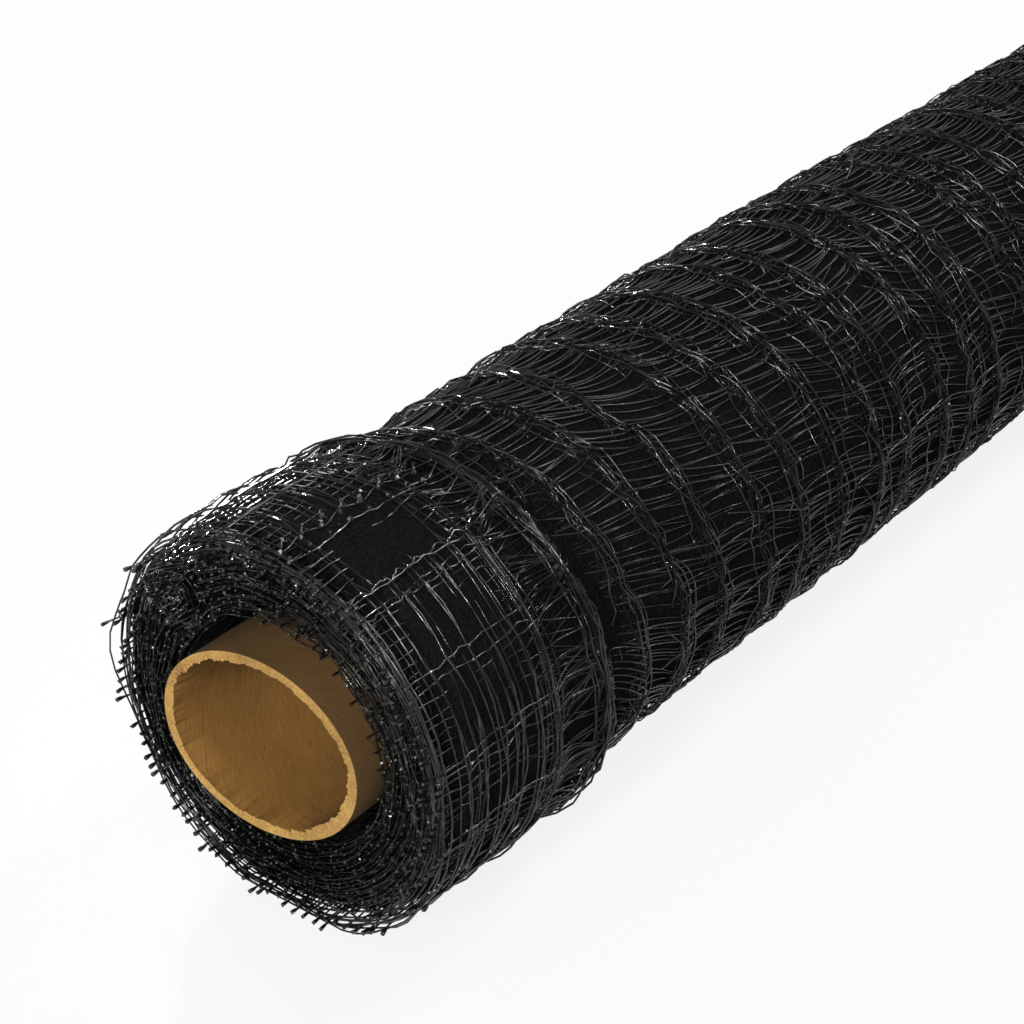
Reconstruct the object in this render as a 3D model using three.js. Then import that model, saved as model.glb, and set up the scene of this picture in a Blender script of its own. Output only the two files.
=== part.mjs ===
// A roll of black plastic poultry netting, wound on a paperboard core and lying on the floor.
// Millimetres, +Z up. The roll's axis runs along X, with its open near end towards -X.
// The origin is on the floor, under the middle of the roll's box.
// An angle around the roll is measured from +Y towards +Z, so the front of the roll faces -Y.

import * as THREE from 'three';
import { mergeVertices } from 'three/addons/utils/BufferGeometryUtils.js';

// Driving dimensions of the netting
const NET_WIDTH = 610;          // the netting's own width, which lies along the roll
const AXIS_HEIGHT = 56;         // the roll's axis above the floor, with the netting pressed flat below
const RING_PITCH = 21.5;        // from one gathered ring of strands to the next
const OPEN_PITCH = 15;          // between the strand pairs at the loose, open ends
const OPEN_LENGTH = 50;         // how far the loose ends reach in from the netting's edges
const EDGE_INSET = 12;          // the first full ring of strands, from the netting's edge
const WAIST_AT = 66.5;          // the tight band behind the near end's flare, from the near edge
const RING_RISE = 1.3;          // a ring stands this far proud of the plain radius
const OPEN_RISE = 0.4;          // the same at the loose ends
const RING_DIP = 1.6;           // the netting sinks this far between two rings
const WAIST_DIP = 3.4;          // and this far in the groove behind the waist band
const RING_SWAY = 9;            // a ring leans this far along the roll on its way round
const SWAY_ANGLE = 150;         // degrees, where a ring near the near edge crosses its middle place
const SWAY_LENGTH = 500;        // the lean turns by one radian over this length

// Driving dimensions of the core, crushed to an oval by the weight of the roll
const CORE_LENGTH = 614;
const CORE_HALF_WIDTH = 31.9;
const CORE_HALF_HEIGHT = 25.8;
const CORE_WALL = 3;
const SEAT_GAP = 0.35;          // between the core and the netting wound on it

// Driving dimensions of the netting's ends
const MOUTH_RADIUS = 33.6;      // the hollow round the core, where the first turns have let go of it
const MOUTH_DEPTH = 30;         // how far that hollow reaches into the roll
const FUNNEL_DEPTH = 8;         // the inner turns lie this far behind the outer ones
const FRONT_REACH = 9;          // the outer turns on the front stand this far ahead of those at the back
const FRONT_ANGLE = 145;        // degrees, the middle of that front
const TURN_RELIEF = 0.9;        // height of the spiral folds that show on the end face
const TURN_PITCH = 7;           // from one such fold to the next
const CURL = { angle: 45, radius: 44, width: 9, rise: 3 };  // a turn that has curled up on itself

// Driving dimensions of the loose end, the last turn's open mesh
const FREE_ANGLE = 121;         // degrees, where the netting's cut end lies
const MESH_ANGLE = 22;          // degrees between two strands along the roll
const MESH_COLUMNS = 3;         // open cells between the cut end and the last strand shown
const STRAND = 1.4;             // thickness of a strand
const STRAND_WIDTH = 2.2;       // width of a strand with its doubled neighbour
const STRAND_GAP = 0.6;         // from the wound netting below to the strand's underside

// Fineness of the surfaces
const AROUND = 48;
const FACE_LOOPS = 10;
const ARC_CUTS = 2;             // straight pieces of a strand between two crossings
const CORE_STEPS = 24;

// Plain radius of the roll along its length, before rings and dips
const PROFILE = [
  { fromNear: 0, radius: 57.0 },
  { fromNear: 25, radius: 57.8 },
  { fromNear: 50, radius: 58.2 },
  { fromNear: 66, radius: 56.2 },
  { fromNear: 88, radius: 53.6 },
  { fromNear: 130, radius: 54.0 },
  { fromNear: 200, radius: 54.6 },
  { fromNear: 400, radius: 54.4 },
  { fromNear: 530, radius: 54.0 },
  { fromNear: 565, radius: 56.6 },
  { fromNear: 590, radius: 57.4 },
  { fromNear: 610, radius: 57.0 },
];

// Broad lumps of the wound netting, each a soft swelling or hollow on one side of the roll
const LUMPS = [
  { fromNear: 56, angle: 225, length: 16, rise: 1.4 },
  { fromNear: 88, angle: 80, length: 24, rise: -1.3 },
  { fromNear: 190, angle: 150, length: 45, rise: 0.7 },
  { fromNear: 290, angle: 60, length: 55, rise: 0.6 },
  { fromNear: 385, angle: 200, length: 50, rise: -0.7 },
  { fromNear: 480, angle: 110, length: 45, rise: 0.8 },
];

const radians = THREE.MathUtils.degToRad;
const bell = (distance, width) => Math.exp(-((distance / width) ** 2));

// An even, repeatable wobble between -1 and 1 for ring number k
const wobble = (k) => Math.sin(2.4 * k + 0.9 * Math.sin(1.7 * k));

// The plain radius at a place along the roll, eased between the rows of the profile
function plainRadius(along) {
  const last = PROFILE.length - 1;
  if (along <= PROFILE[0].fromNear) return PROFILE[0].radius;
  if (along >= PROFILE[last].fromNear) return PROFILE[last].radius;
  const next = PROFILE.findIndex((row) => row.fromNear > along);
  const from = PROFILE[next - 1];
  const to = PROFILE[next];
  const share = THREE.MathUtils.smoothstep(along, from.fromNear, to.fromNear);
  return THREE.MathUtils.lerp(from.radius, to.radius, share);
}

// The radius of the wound netting with its broad lumps
function lumpyRadius(along, angle) {
  let radius = plainRadius(along);
  for (const lump of LUMPS) {
    const facing = Math.max(0, Math.cos(angle - radians(lump.angle)));
    radius += lump.rise * facing * bell(along - lump.fromNear, lump.length);
  }
  return radius;
}

// Places of the strand rings, from the near edge to the far one.
// Each ring has its own rise, and a dip in the netting behind it.
function ringPlaces() {
  const rings = [];
  const openCount = Math.floor((OPEN_LENGTH - EDGE_INSET) / OPEN_PITCH) + 1;
  for (let k = 0; k < openCount; k++) {
    rings.push({ at: EDGE_INSET + k * OPEN_PITCH, rise: OPEN_RISE, dip: OPEN_RISE });
  }
  rings[openCount - 1].dip = RING_DIP;
  rings.push({ at: WAIST_AT, rise: RING_RISE * 1.5, dip: WAIST_DIP });
  const bodyStart = WAIST_AT + RING_PITCH;
  const bodyEnd = NET_WIDTH - OPEN_LENGTH - RING_PITCH / 2;
  const bodyCount = Math.floor((bodyEnd - bodyStart) / RING_PITCH) + 1;
  for (let k = 0; k < bodyCount; k++) {
    const at = bodyStart + k * RING_PITCH + 2.5 * wobble(k);
    const rise = RING_RISE * (1 + 0.35 * wobble(k + 5));
    const dip = RING_DIP * (1 + 0.4 * wobble(k + 9));
    rings.push({ at, rise, dip });
  }
  for (let k = openCount - 1; k >= 0; k--) {
    rings.push({ at: NET_WIDTH - EDGE_INSET - k * OPEN_PITCH, rise: OPEN_RISE, dip: OPEN_RISE });
  }
  return rings;
}

// How far a ring leans along the roll at an angle; the loose ends stay square
function sway(along, angle) {
  const fromEnd = Math.min(along, NET_WIDTH - along);
  const inside = THREE.MathUtils.smoothstep(fromEnd, OPEN_LENGTH, OPEN_LENGTH + 2 * RING_PITCH);
  return RING_SWAY * inside * Math.sin(angle - radians(SWAY_ANGLE) - along / SWAY_LENGTH);
}

// The radius no lower than the floor, which presses the roll's underside flat
function onFloor(radius, angle) {
  const down = -Math.sin(angle);
  return down > 0 ? Math.min(radius, AXIS_HEIGHT / down) : radius;
}

// A point of the roll from its place along the netting, its radius and its angle
function rollPoint(along, radius, angle) {
  return new THREE.Vector3(
    along - NET_WIDTH / 2,
    radius * Math.cos(angle),
    AXIS_HEIGHT + radius * Math.sin(angle),
  );
}

// The core's outer radius at an angle, which is that of an oval
function coreRadius(angle) {
  return 1 / Math.hypot(Math.cos(angle) / CORE_HALF_WIDTH, Math.sin(angle) / CORE_HALF_HEIGHT);
}

// The end face: how far behind the netting's edge a point of it lies.
// Only the near face has the curled-up turn.
function faceDepth(radius, outer, angle, near) {
  const inward = (outer - radius) / (outer - MOUTH_RADIUS);
  const front = FRONT_REACH * (1 - Math.cos(angle - radians(FRONT_ANGLE))) / 2;
  const folds = TURN_RELIEF * Math.cos((2 * Math.PI * radius) / TURN_PITCH - angle);
  const rim = Math.sin(Math.PI * inward);
  const curl = rollPoint(0, radius, angle).distanceTo(rollPoint(0, CURL.radius, radians(CURL.angle)));
  const swelling = near ? CURL.rise * bell(curl, CURL.width) : 0;
  return front * (1 - inward) + FUNNEL_DEPTH * inward + (folds - swelling) * rim;
}

// The closed line of sections that is carried round the axis: bore, near face, outside, far face, bore.
// Each section gives the place along the netting and the radius at an angle.
function woundSections() {
  const sections = [];
  const bore = (along) => sections.push((angle) => [along, coreRadius(angle) + SEAT_GAP]);
  const face = (share, near) => sections.push((angle) => {
    const edge = near ? 0 : NET_WIDTH;
    const outer = onFloor(lumpyRadius(edge, angle), angle);
    const radius = THREE.MathUtils.lerp(MOUTH_RADIUS, outer, share);
    const depth = faceDepth(radius, outer, angle, near);
    return [near ? depth : NET_WIDTH - depth, radius];
  });
  bore(MOUTH_DEPTH);
  for (let k = 0; k <= FACE_LOOPS; k++) face(k / FACE_LOOPS, true);
  const rings = ringPlaces();
  const outside = (place, offset) => sections.push((angle) => [
    place + sway(place, angle),
    onFloor(lumpyRadius(place, angle) + offset, angle),
  ]);
  rings.forEach((ring, k) => {
    outside(ring.at, ring.rise);
    if (k < rings.length - 1) outside((ring.at + rings[k + 1].at) / 2, -ring.dip);
  });
  for (let k = FACE_LOOPS; k >= 0; k--) face(k / FACE_LOOPS, false);
  bore(NET_WIDTH - MOUTH_DEPTH);
  sections.push(sections[0]);
  return sections;
}

// The wound netting as one body: a turned form whose points are set to the sections' real places
function woundNetting() {
  const sections = woundSections();
  const outline = sections.map((section) => {
    const [along, radius] = section(0);
    return new THREE.Vector2(radius, along);
  });
  const turned = new THREE.LatheGeometry(outline, AROUND);
  const places = turned.getAttribute('position');
  for (let k = 0; k < places.count; k++) {
    const angle = (2 * Math.PI * (Math.floor(k / sections.length) % AROUND)) / AROUND;
    const [along, radius] = sections[k % sections.length](angle);
    places.setXYZ(k, ...rollPoint(along, radius, angle));
  }
  return turned;
}

// The paperboard core: an oval tube, open from end to end
function coreTube() {
  const outline = new THREE.Shape().absellipse(0, 0, CORE_HALF_HEIGHT, CORE_HALF_WIDTH, 0, 2 * Math.PI);
  const bore = new THREE.Path();
  bore.absellipse(0, 0, CORE_HALF_HEIGHT - CORE_WALL, CORE_HALF_WIDTH - CORE_WALL, 0, 2 * Math.PI);
  outline.holes.push(bore);
  const tube = new THREE.ExtrudeGeometry(outline, {
    depth: CORE_LENGTH, steps: 1, bevelEnabled: false, curveSegments: CORE_STEPS,
  });
  return tube.translate(0, 0, -CORE_LENGTH / 2).rotateY(Math.PI / 2).translate(0, 0, AXIS_HEIGHT);
}

// A geometry with its shared points merged, so that only places are left
function sealed(geometry) {
  const bare = geometry.clone();
  bare.deleteAttribute('normal');
  bare.deleteAttribute('uv');
  return mergeVertices(bare, 1e-4);
}

// Places where a row of strands starts and stops, with even cuts in the gaps between two strands.
// A strand is marked open: false, and a piece of a gap open: true.
function strandSpans(middles, width, cuts) {
  const spans = [];
  middles.forEach((middle, k) => {
    spans.push({ from: middle - width / 2, to: middle + width / 2, open: false });
    if (k === middles.length - 1) return;
    const gapStart = middle + width / 2;
    const step = (middles[k + 1] - width / 2 - gapStart) / cuts;
    for (let cut = 0; cut < cuts; cut++) {
      spans.push({ from: gapStart + cut * step, to: gapStart + (cut + 1) * step, open: true });
    }
  });
  return spans;
}

// The loose end: strands along the roll crossed by strands round it, welded where they meet.
// Every patch of strand gets an outside, an underside and a wall wherever it borders on a gap.
function looseEnd() {
  const rings = ringPlaces();
  const columns = Array.from({ length: MESH_COLUMNS + 1 }, (_, k) => FREE_ANGLE + k * MESH_ANGLE);
  const strandAngle = THREE.MathUtils.radToDeg(STRAND_WIDTH / plainRadius(NET_WIDTH / 2));
  const alongSpans = strandSpans(rings.map((ring) => ring.at), STRAND_WIDTH, 1);
  const roundSpans = strandSpans(columns, strandAngle, ARC_CUTS);
  const solid = (a, r) => {
    const along = alongSpans[a];
    const round = roundSpans[r];
    return Boolean(along && round) && !(along.open && round.open);
  };
  const point = (along, degrees, height) => {
    const angle = radians(degrees);
    const ring = rings.reduce((best, next) => (
      Math.abs(next.at - along) < Math.abs(best.at - along) ? next : best));
    const radius = lumpyRadius(ring.at, angle) + ring.rise + STRAND_GAP + height;
    return rollPoint(along + sway(ring.at, angle), radius, angle);
  };
  const places = [];
  const quad = (...corners) => {
    for (const k of [0, 1, 2, 0, 2, 3]) places.push(...corners[k]);
  };
  alongSpans.forEach((along, a) => roundSpans.forEach((round, r) => {
    if (!solid(a, r)) return;
    const corner = (height) => [
      point(along.from, round.from, height),
      point(along.from, round.to, height),
      point(along.to, round.to, height),
      point(along.to, round.from, height),
    ];
    const low = corner(0);
    const high = corner(STRAND);
    quad(high[0], high[1], high[2], high[3]);
    quad(low[3], low[2], low[1], low[0]);
    const neighbours = [[a - 1, r], [a, r + 1], [a + 1, r], [a, r - 1]];
    neighbours.forEach((next, side) => {
      if (solid(...next)) return;
      const after = (side + 1) % 4;
      quad(low[side], low[after], high[after], high[side]);
    });
  }));
  const geometry = new THREE.BufferGeometry();
  geometry.setAttribute('position', new THREE.Float32BufferAttribute(places, 3));
  return geometry;
}

function piece(name, geometry, material) {
  const mesh = new THREE.Mesh(geometry, material);
  mesh.name = name;
  return mesh;
}

const blackPlastic = new THREE.MeshStandardMaterial({ color: 0x121212, roughness: 0.45, metalness: 0 });
const openMesh = new THREE.MeshStandardMaterial({ color: 0x1c1c1c, roughness: 0.4, metalness: 0 });
const brownBoard = new THREE.MeshStandardMaterial({ color: 0x8a6232, roughness: 0.85, metalness: 0 });

const roll = new THREE.Group();
roll.add(piece('core_tube', sealed(coreTube()), brownBoard));
roll.add(piece('netting_roll', sealed(woundNetting()), blackPlastic));
roll.add(piece('loose_end', sealed(looseEnd()), openMesh));

// The origin goes to the middle of the box's underside
const box = new THREE.Box3().setFromObject(roll);
const middle = box.getCenter(new THREE.Vector3());
roll.position.set(-middle.x, -middle.y, -box.min.z);

export default roll;
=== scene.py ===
"""Looks of a roll of black plastic poultry netting on a crushed paperboard core.

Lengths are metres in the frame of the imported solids: X along the roll, Z up, the front towards -Y.
An angle around the roll is measured from +Y towards +Z. A turn is counted from the netting's free edge
inwards, so turn 0 is the edge itself and turn 1 lies under it, one winding deeper.
"""

import logging
import math
from dataclasses import dataclass
from enum import Enum
from typing import Any

import bpy
import numpy as np
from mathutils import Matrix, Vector

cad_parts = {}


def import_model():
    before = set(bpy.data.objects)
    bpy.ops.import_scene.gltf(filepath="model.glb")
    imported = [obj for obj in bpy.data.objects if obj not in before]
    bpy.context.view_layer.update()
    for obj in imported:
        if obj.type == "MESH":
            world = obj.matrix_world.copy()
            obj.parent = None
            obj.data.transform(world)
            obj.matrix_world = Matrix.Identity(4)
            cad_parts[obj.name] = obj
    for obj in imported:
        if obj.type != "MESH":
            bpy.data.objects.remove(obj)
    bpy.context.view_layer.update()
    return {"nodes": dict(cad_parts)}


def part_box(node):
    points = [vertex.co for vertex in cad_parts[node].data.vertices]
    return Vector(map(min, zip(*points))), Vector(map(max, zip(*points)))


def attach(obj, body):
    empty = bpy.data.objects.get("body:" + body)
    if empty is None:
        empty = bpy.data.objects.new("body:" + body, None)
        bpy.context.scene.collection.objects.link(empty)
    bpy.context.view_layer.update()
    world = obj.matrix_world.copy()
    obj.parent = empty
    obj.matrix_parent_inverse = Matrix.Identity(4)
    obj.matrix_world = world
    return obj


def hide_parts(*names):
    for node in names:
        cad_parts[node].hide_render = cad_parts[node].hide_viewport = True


LOG = logging.getLogger("netting_roll")
MM = 0.001
DEG = math.pi / 180
FULL_TURN = 2 * math.pi

Array = np.ndarray
Pair = tuple[float, float]
Colour = tuple[float, float, float]


class End(Enum):
    """The two cut edges of the netting."""

    NEAR = "near"
    FAR = "far"


class Wire:
    """A node socket that takes part in Python expressions."""

    def __init__(self, bench: "Bench", socket: bpy.types.NodeSocket) -> None:
        """Wraps one output socket of a node on the bench."""
        self.bench = bench
        self.socket = socket

    def _math(self, operation: str, first: Any, second: Any) -> "Wire":
        """Adds a Math node for one operation and gives its output."""
        return self.bench.node("ShaderNodeMath", {"operation": operation}, {0: first, 1: second})

    def __add__(self, other: Any) -> "Wire":
        """Sum of two values."""
        return self._math("ADD", self, other)

    def __radd__(self, other: Any) -> "Wire":
        """Sum with a number on the left."""
        return self._math("ADD", other, self)

    def __sub__(self, other: Any) -> "Wire":
        """Difference of two values."""
        return self._math("SUBTRACT", self, other)

    def __rsub__(self, other: Any) -> "Wire":
        """Difference with a number on the left."""
        return self._math("SUBTRACT", other, self)

    def __mul__(self, other: Any) -> "Wire":
        """Product of two values."""
        return self._math("MULTIPLY", self, other)

    def __rmul__(self, other: Any) -> "Wire":
        """Product with a number on the left."""
        return self._math("MULTIPLY", other, self)


class Bench:
    """One material and the nodes that are added to it."""

    def __init__(self, name: str) -> None:
        """Starts a material that holds a Principled shader and its output only.

        Args:
            name: The material's name.
        """
        self.material = bpy.data.materials.new(name)
        self.material.use_nodes = True
        self.tree = self.material.node_tree
        self.shader = self.tree.nodes["Principled BSDF"]

    def node(self, kind: str, settings: dict[str, Any], sockets: dict[Any, Any], output: Any = 0) -> Wire:
        """Adds a node, sets it up and feeds its sockets.

        Args:
            kind: The node's type.
            settings: Its own settings; "stops" are a ramp's positions and colours.
            sockets: Values or wires by socket name or number.
            output: Name or number of the output that is wanted.

        Returns:
            The wanted output as a wire.
        """
        made = self.tree.nodes.new(kind)
        for key, value in settings.items():
            if key == "stops":
                for element, (position, colour) in zip(made.color_ramp.elements, value):
                    element.position = position
                    element.color = (*colour, 1.0)
            else:
                setattr(made, key, value)
        for key, value in sockets.items():
            self.feed(made.inputs[key], value)
        return Wire(self, made.outputs[output])

    def feed(self, socket: bpy.types.NodeSocket, value: Any) -> None:
        """Links a wire to a socket, or sets the socket's own value.

        Args:
            socket: The socket.
            value: A wire or a value.
        """
        if isinstance(value, Wire):
            self.tree.links.new(value.socket, socket)
        else:
            socket.default_value = value

    def shade(self, **values: Any) -> None:
        """Feeds the Principled shader; underscores in a name stand for spaces."""
        for name, value in values.items():
            self.feed(self.shader.inputs[name.replace("_", " ")], value)

    def place(self) -> Wire:
        """The point's place in the roll's own frame."""
        return self.node("ShaderNodeTexCoord", {}, {}, "Object")

    def axis(self, place: Wire, name: str) -> Wire:
        """One coordinate of a place."""
        return self.node("ShaderNodeSeparateXYZ", {}, {"Vector": place}, name)

    def mark(self, name: str) -> Wire:
        """The value of one of the mesh's attributes."""
        return self.node("ShaderNodeAttribute", {"attribute_name": name}, {}, "Fac")

    def noise(self, place: Wire, scale: float, detail: float) -> Wire:
        """A cloudy value, finer with a larger scale."""
        return self.node("ShaderNodeTexNoise", {}, {"Vector": place, "Scale": scale, "Detail": detail}, "Fac")

    def span(self, value: Wire, low: float, high: float) -> Wire:
        """Rises from 0 to 1 as a value goes from low to high."""
        sockets = {"Value": value, "From Min": low, "From Max": high}
        return self.node("ShaderNodeMapRange", {}, sockets, "Result")

    def bump(self, height: Wire, strength: float, distance: float) -> Wire:
        """A surface that a height seems to raise."""
        sockets = {"Strength": strength, "Distance": distance, "Height": height}
        return self.node("ShaderNodeBump", {}, sockets, "Normal")

    def mix(self, share: Wire, first: Wire, second: Any, blend: str = "MIX") -> Wire:
        """One colour laid over another by a share."""
        settings = {"data_type": "RGBA", "blend_type": blend}
        return self.node("ShaderNodeMix", settings, {"Factor": share, 6: first, 7: second}, 2)

    def ramp(self, value: Wire, low: tuple[float, Colour], high: tuple[float, Colour]) -> Wire:
        """Reads a colour between a lower and a higher stop."""
        return self.node("ShaderNodeValToRGB", {"stops": (low, high)}, {0: value}, "Color")


@dataclass(frozen=True)
class NettingFinish:
    """Glossy black plastic strands, drawn out unevenly, with dust on top; painted shade makes them darker and
    less glossy underneath.
    """

    name: str
    dark: Colour = (0.003, 0.003, 0.003)
    pale: Colour = (0.014, 0.014, 0.013)
    pale_span: Pair = (0.35, 0.75)
    patch_scale: float = 140.0
    drawn_scale: float = 260.0
    drawn_bump: Pair = (0.06, 0.4 * MM)
    gloss: float = 0.08
    haze: float = 0.17
    shine: float = 0.27
    coat: float = 0.6
    coat_gloss: float = 0.12
    wet_span: Pair = (0.52, 0.64)
    knot_haze: float = 0.16
    knot_tone: Colour = (0.07, 0.07, 0.066)
    knot_glint: float = 0.85
    dust: float = 0.0
    dust_hides: float = 2.5
    dust_height: Pair = (80 * MM, 104 * MM)
    dust_from: Pair = (-232 * MM, -205 * MM)
    painted_shade_height: Pair = (10 * MM, 56 * MM)
    share_in_painted_shade: float = 0.5

    def material(self) -> bpy.types.Material:
        """Makes the finish; the attribute "knot" is 1 on welds, which glint.

        Returns:
            The material, read in Object coordinates.
        """
        bench = Bench(self.name)
        place = bench.place()
        height = bench.axis(place, "Z")
        knot = bench.mark("knot")
        settled = bench.span(height, *self.dust_height) * bench.span(bench.axis(place, "X"), *self.dust_from)
        # lit rises from 0 to 1 with height: painted shade halves the base colour's patches and takes the coat
        # away low on the roll.
        lit = bench.span(height, *self.painted_shade_height)
        patches = bench.noise(place, self.patch_scale, 3.0)
        drawn = bench.noise(place, self.drawn_scale, 2.0)
        patches_with_painted_shade = patches * (self.share_in_painted_shade + (1.0 - self.share_in_painted_shade) * lit)
        colour = bench.ramp(patches_with_painted_shade, (self.pale_span[0], self.dark), (self.pale_span[1], self.pale))
        clean_of_dust_and_painted_shade = (1.0 - min(1.0, self.dust_hides * self.dust) * settled) * lit
        bench.shade(
            Base_Color=bench.mix(knot, colour, (*self.knot_tone, 1.0)),
            Roughness=self.gloss + self.haze * patches + self.knot_haze * knot + self.dust * settled,
            Metallic=self.knot_glint * knot,
            Coat_Weight=self.coat * bench.span(drawn, *self.wet_span) * clean_of_dust_and_painted_shade,
            Coat_Roughness=self.coat_gloss,
            Specular_IOR_Level=self.shine,
            Normal=bench.bump(drawn, *self.drawn_bump),
        )
        return bench.material


@dataclass(frozen=True)
class DepthsFinish:
    """The turns under the outer strands as one near-black sheet without sheen: black plastic with painted
    shade, and the ghost of more mesh.
    """

    name: str
    colour: Colour = (0.0035, 0.0035, 0.0035)
    ghost: Colour = (0.007, 0.007, 0.007)
    ghost_span: Pair = (0.45, 0.8)
    ghost_bump: Pair = (0.8, 1.0 * MM)
    mesh_scale: float = 950.0
    roughness: float = 0.75

    def material(self) -> bpy.types.Material:
        """Makes the finish.

        Returns:
            The material, read in Object coordinates.
        """
        bench = Bench(self.name)
        mesh = bench.noise(bench.place(), self.mesh_scale, 3.0)
        bench.shade(
            Base_Color=bench.ramp(mesh, (self.ghost_span[0], self.colour), (self.ghost_span[1], self.ghost)),
            Roughness=self.roughness,
            Specular_IOR_Level=0.0,
            Normal=bench.bump(mesh, *self.ghost_bump),
        )
        return bench.material


@dataclass(frozen=True)
class BoardFinish:
    """Brown kraft board with a spiral seam and a pale, torn cut edge."""

    name: str
    mouth_x: float
    axis_z: float
    kraft: Colour = (0.142, 0.067, 0.0112)
    shade_kraft: Colour = (0.0745, 0.034, 0.005)
    kraft_span: Pair = (0.30, 0.70)
    edge: Colour = (0.28, 0.166, 0.045)
    edge_shade: Colour = (0.121, 0.061, 0.013)
    edge_span: Pair = (0.30, 0.62)
    outer_painted_shade_tint: Colour = (0.5, 0.54, 0.75)
    ply_radius: float = 26 * MM
    ply_slope: float = 0.6
    seam_angle: float = -48 * DEG
    seam_sharpness: float = 12.0
    grain_stretch: float = 0.10
    grain_scale: float = 1500.0
    blotch_scale: float = 55.0
    grain_tone: float = 0.6
    seam_tone: float = 0.14
    edge_tone: float = 0.5
    roughness: float = 0.72
    fibre_haze: float = 0.2
    fibre_relief: float = 0.6
    seam_relief: float = 0.8
    relief: Pair = (0.35, 0.4 * MM)
    shine: float = 0.25

    def material(self) -> bpy.types.Material:
        """Makes the finish; the attribute "cut" is 1 on the bare cut edge, and "outer" on the outside.

        Returns:
            The material, read in Object coordinates.
        """
        bench = Bench(self.name)
        place = bench.place()
        wound = self._wound(bench, place)
        stretch = (self.grain_stretch, 1.0, 1.0)
        drawn = bench.node("ShaderNodeMapping", {}, {"Vector": wound, "Scale": stretch}, "Vector")
        grain = bench.noise(drawn, self.grain_scale, 4.0)
        blotch = bench.noise(place, self.blotch_scale, 4.0)
        fibre = bench.noise(place, self.grain_scale, 3.0)
        seam = self._seam(bench, wound)
        tone = self.grain_tone * grain + (1.0 - self.grain_tone) * blotch - self.seam_tone * seam
        paper = bench.ramp(tone, (self.kraft_span[0], self.shade_kraft), (self.kraft_span[1], self.kraft))
        bare = self.edge_tone * fibre + (1.0 - self.edge_tone) * blotch
        edge = bench.ramp(bare, (self.edge_span[0], self.edge_shade), (self.edge_span[1], self.edge))
        board = bench.mix(bench.mark("cut"), paper, edge)
        height = grain + self.fibre_relief * fibre - self.seam_relief * seam
        # The outside is multiplied darker and greyer: painted shade from the netting round it.
        bench.shade(
            Base_Color=bench.mix(bench.mark("outer"), board, (*self.outer_painted_shade_tint, 1.0), "MULTIPLY"),
            Roughness=self.roughness + self.fibre_haze * fibre,
            Specular_IOR_Level=self.shine,
            Normal=bench.bump(height, *self.relief),
        )
        return bench.material

    def _wound(self, bench: Bench, place: Wire) -> Wire:
        """The place, unwound along the spiral of the paper's plies.

        Args:
            bench: The material.
            place: The point's place.

        Returns:
            The place on the unwound ply.
        """
        angle = (bench.axis(place, "X") - self.mouth_x) * (-1 / (self.ply_slope * self.ply_radius))
        sockets = {"Vector": place, "Center": (0.0, 0.0, self.axis_z), "Angle": angle}
        return bench.node("ShaderNodeVectorRotate", {"rotation_type": "X_AXIS"}, sockets, "Vector")

    def _seam(self, bench: Bench, wound: Wire) -> Wire:
        """A share that is 1 along the seam between two plies.

        Args:
            bench: The material.
            wound: The place on the unwound ply.

        Returns:
            The share.
        """
        across, up = bench.axis(wound, "Y"), bench.axis(wound, "Z") - self.axis_z
        off = (up * math.cos(self.seam_angle) - across * math.sin(self.seam_angle)) * (1 / MM)
        sharp = -self.seam_sharpness * (off * off)
        return bench.node("ShaderNodeMath", {"operation": "EXPONENT"}, {0: sharp})


@dataclass(frozen=True)
class FloorFinish:
    """A plain pale studio floor that glows a little, as paper lit from behind does."""

    name: str
    colour: Colour = (0.05, 0.05, 0.05)
    roughness: float = 0.9
    glow: float = 0.83

    def material(self) -> bpy.types.Material:
        """Makes the finish in one matt colour.

        Returns:
            The material.
        """
        bench = Bench(self.name)
        bench.shade(
            Base_Color=(*self.colour, 1.0), Roughness=self.roughness,
            Emission_Color=(1.0, 1.0, 1.0, 1.0), Emission_Strength=self.glow,
        )
        return bench.material


def smooth(value: Any, low: Any, high: Any) -> Any:
    """Eases from 0 at low to 1 at high.

    Args:
        value: Where to read the ease.
        low: Where it leaves 0.
        high: Where it reaches 1.

    Returns:
        The eased share at each value.
    """
    share = np.clip((value - low) / (high - low), 0.0, 1.0)
    return share * share * (3.0 - 2.0 * share)


def eased(place: Array, knots: Array, values: Array) -> Array:
    """Reads values between knots, level at each knot.

    Args:
        place: Where to read.
        knots: Rising places of the knots.
        values: Value at each knot.

    Returns:
        The value at each place.
    """
    index = np.clip(np.searchsorted(knots, place, side="right") - 1, 0, len(knots) - 2)
    share = smooth(place, knots[index], knots[index + 1])
    return values[index] + (values[index + 1] - values[index]) * share


def facing(angle: Any, towards: float, width: float) -> Any:
    """A share that is 1 where an angle faces a direction, and fades to either side.

    Args:
        angle: Angles around the roll.
        towards: The direction.
        width: How slowly it fades: 0.03 reaches about 14 degrees, 0.35 about 50.

    Returns:
        The share at each angle.
    """
    return np.exp((np.cos(angle - towards) - 1.0) / width)


def bell(place: Any, middle: float, width: float) -> Any:
    """A share that is 1 at a middle place and fades over a width to either side."""
    return np.exp(-(((place - middle) / width) ** 2))


def shares(count: int) -> Array:
    """One row of evenly spaced shares from 0 to 1."""
    return np.linspace(0.0, 1.0, count)[None, :]


def pick(values: Array, index: Array) -> Array:
    """Takes from each row of values the columns that an index names."""
    return np.take_along_axis(values, index, axis=1)


def between(values: Array, where: Array) -> Array:
    """Reads each strand's knot values at fractional knot numbers.

    Args:
        values: Array of strands and knots.
        where: Knot numbers, one row for all strands or a row each.

    Returns:
        The values in between, kinked at the knots.
    """
    where = np.broadcast_to(where, (values.shape[0], where.shape[-1]))
    index = np.clip(where.astype(int), 0, values.shape[1] - 2)
    share = np.clip(where - index, 0.0, 1.0)
    low, high = pick(values, index), pick(values, index + 1)
    return low + (high - low) * share


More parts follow.
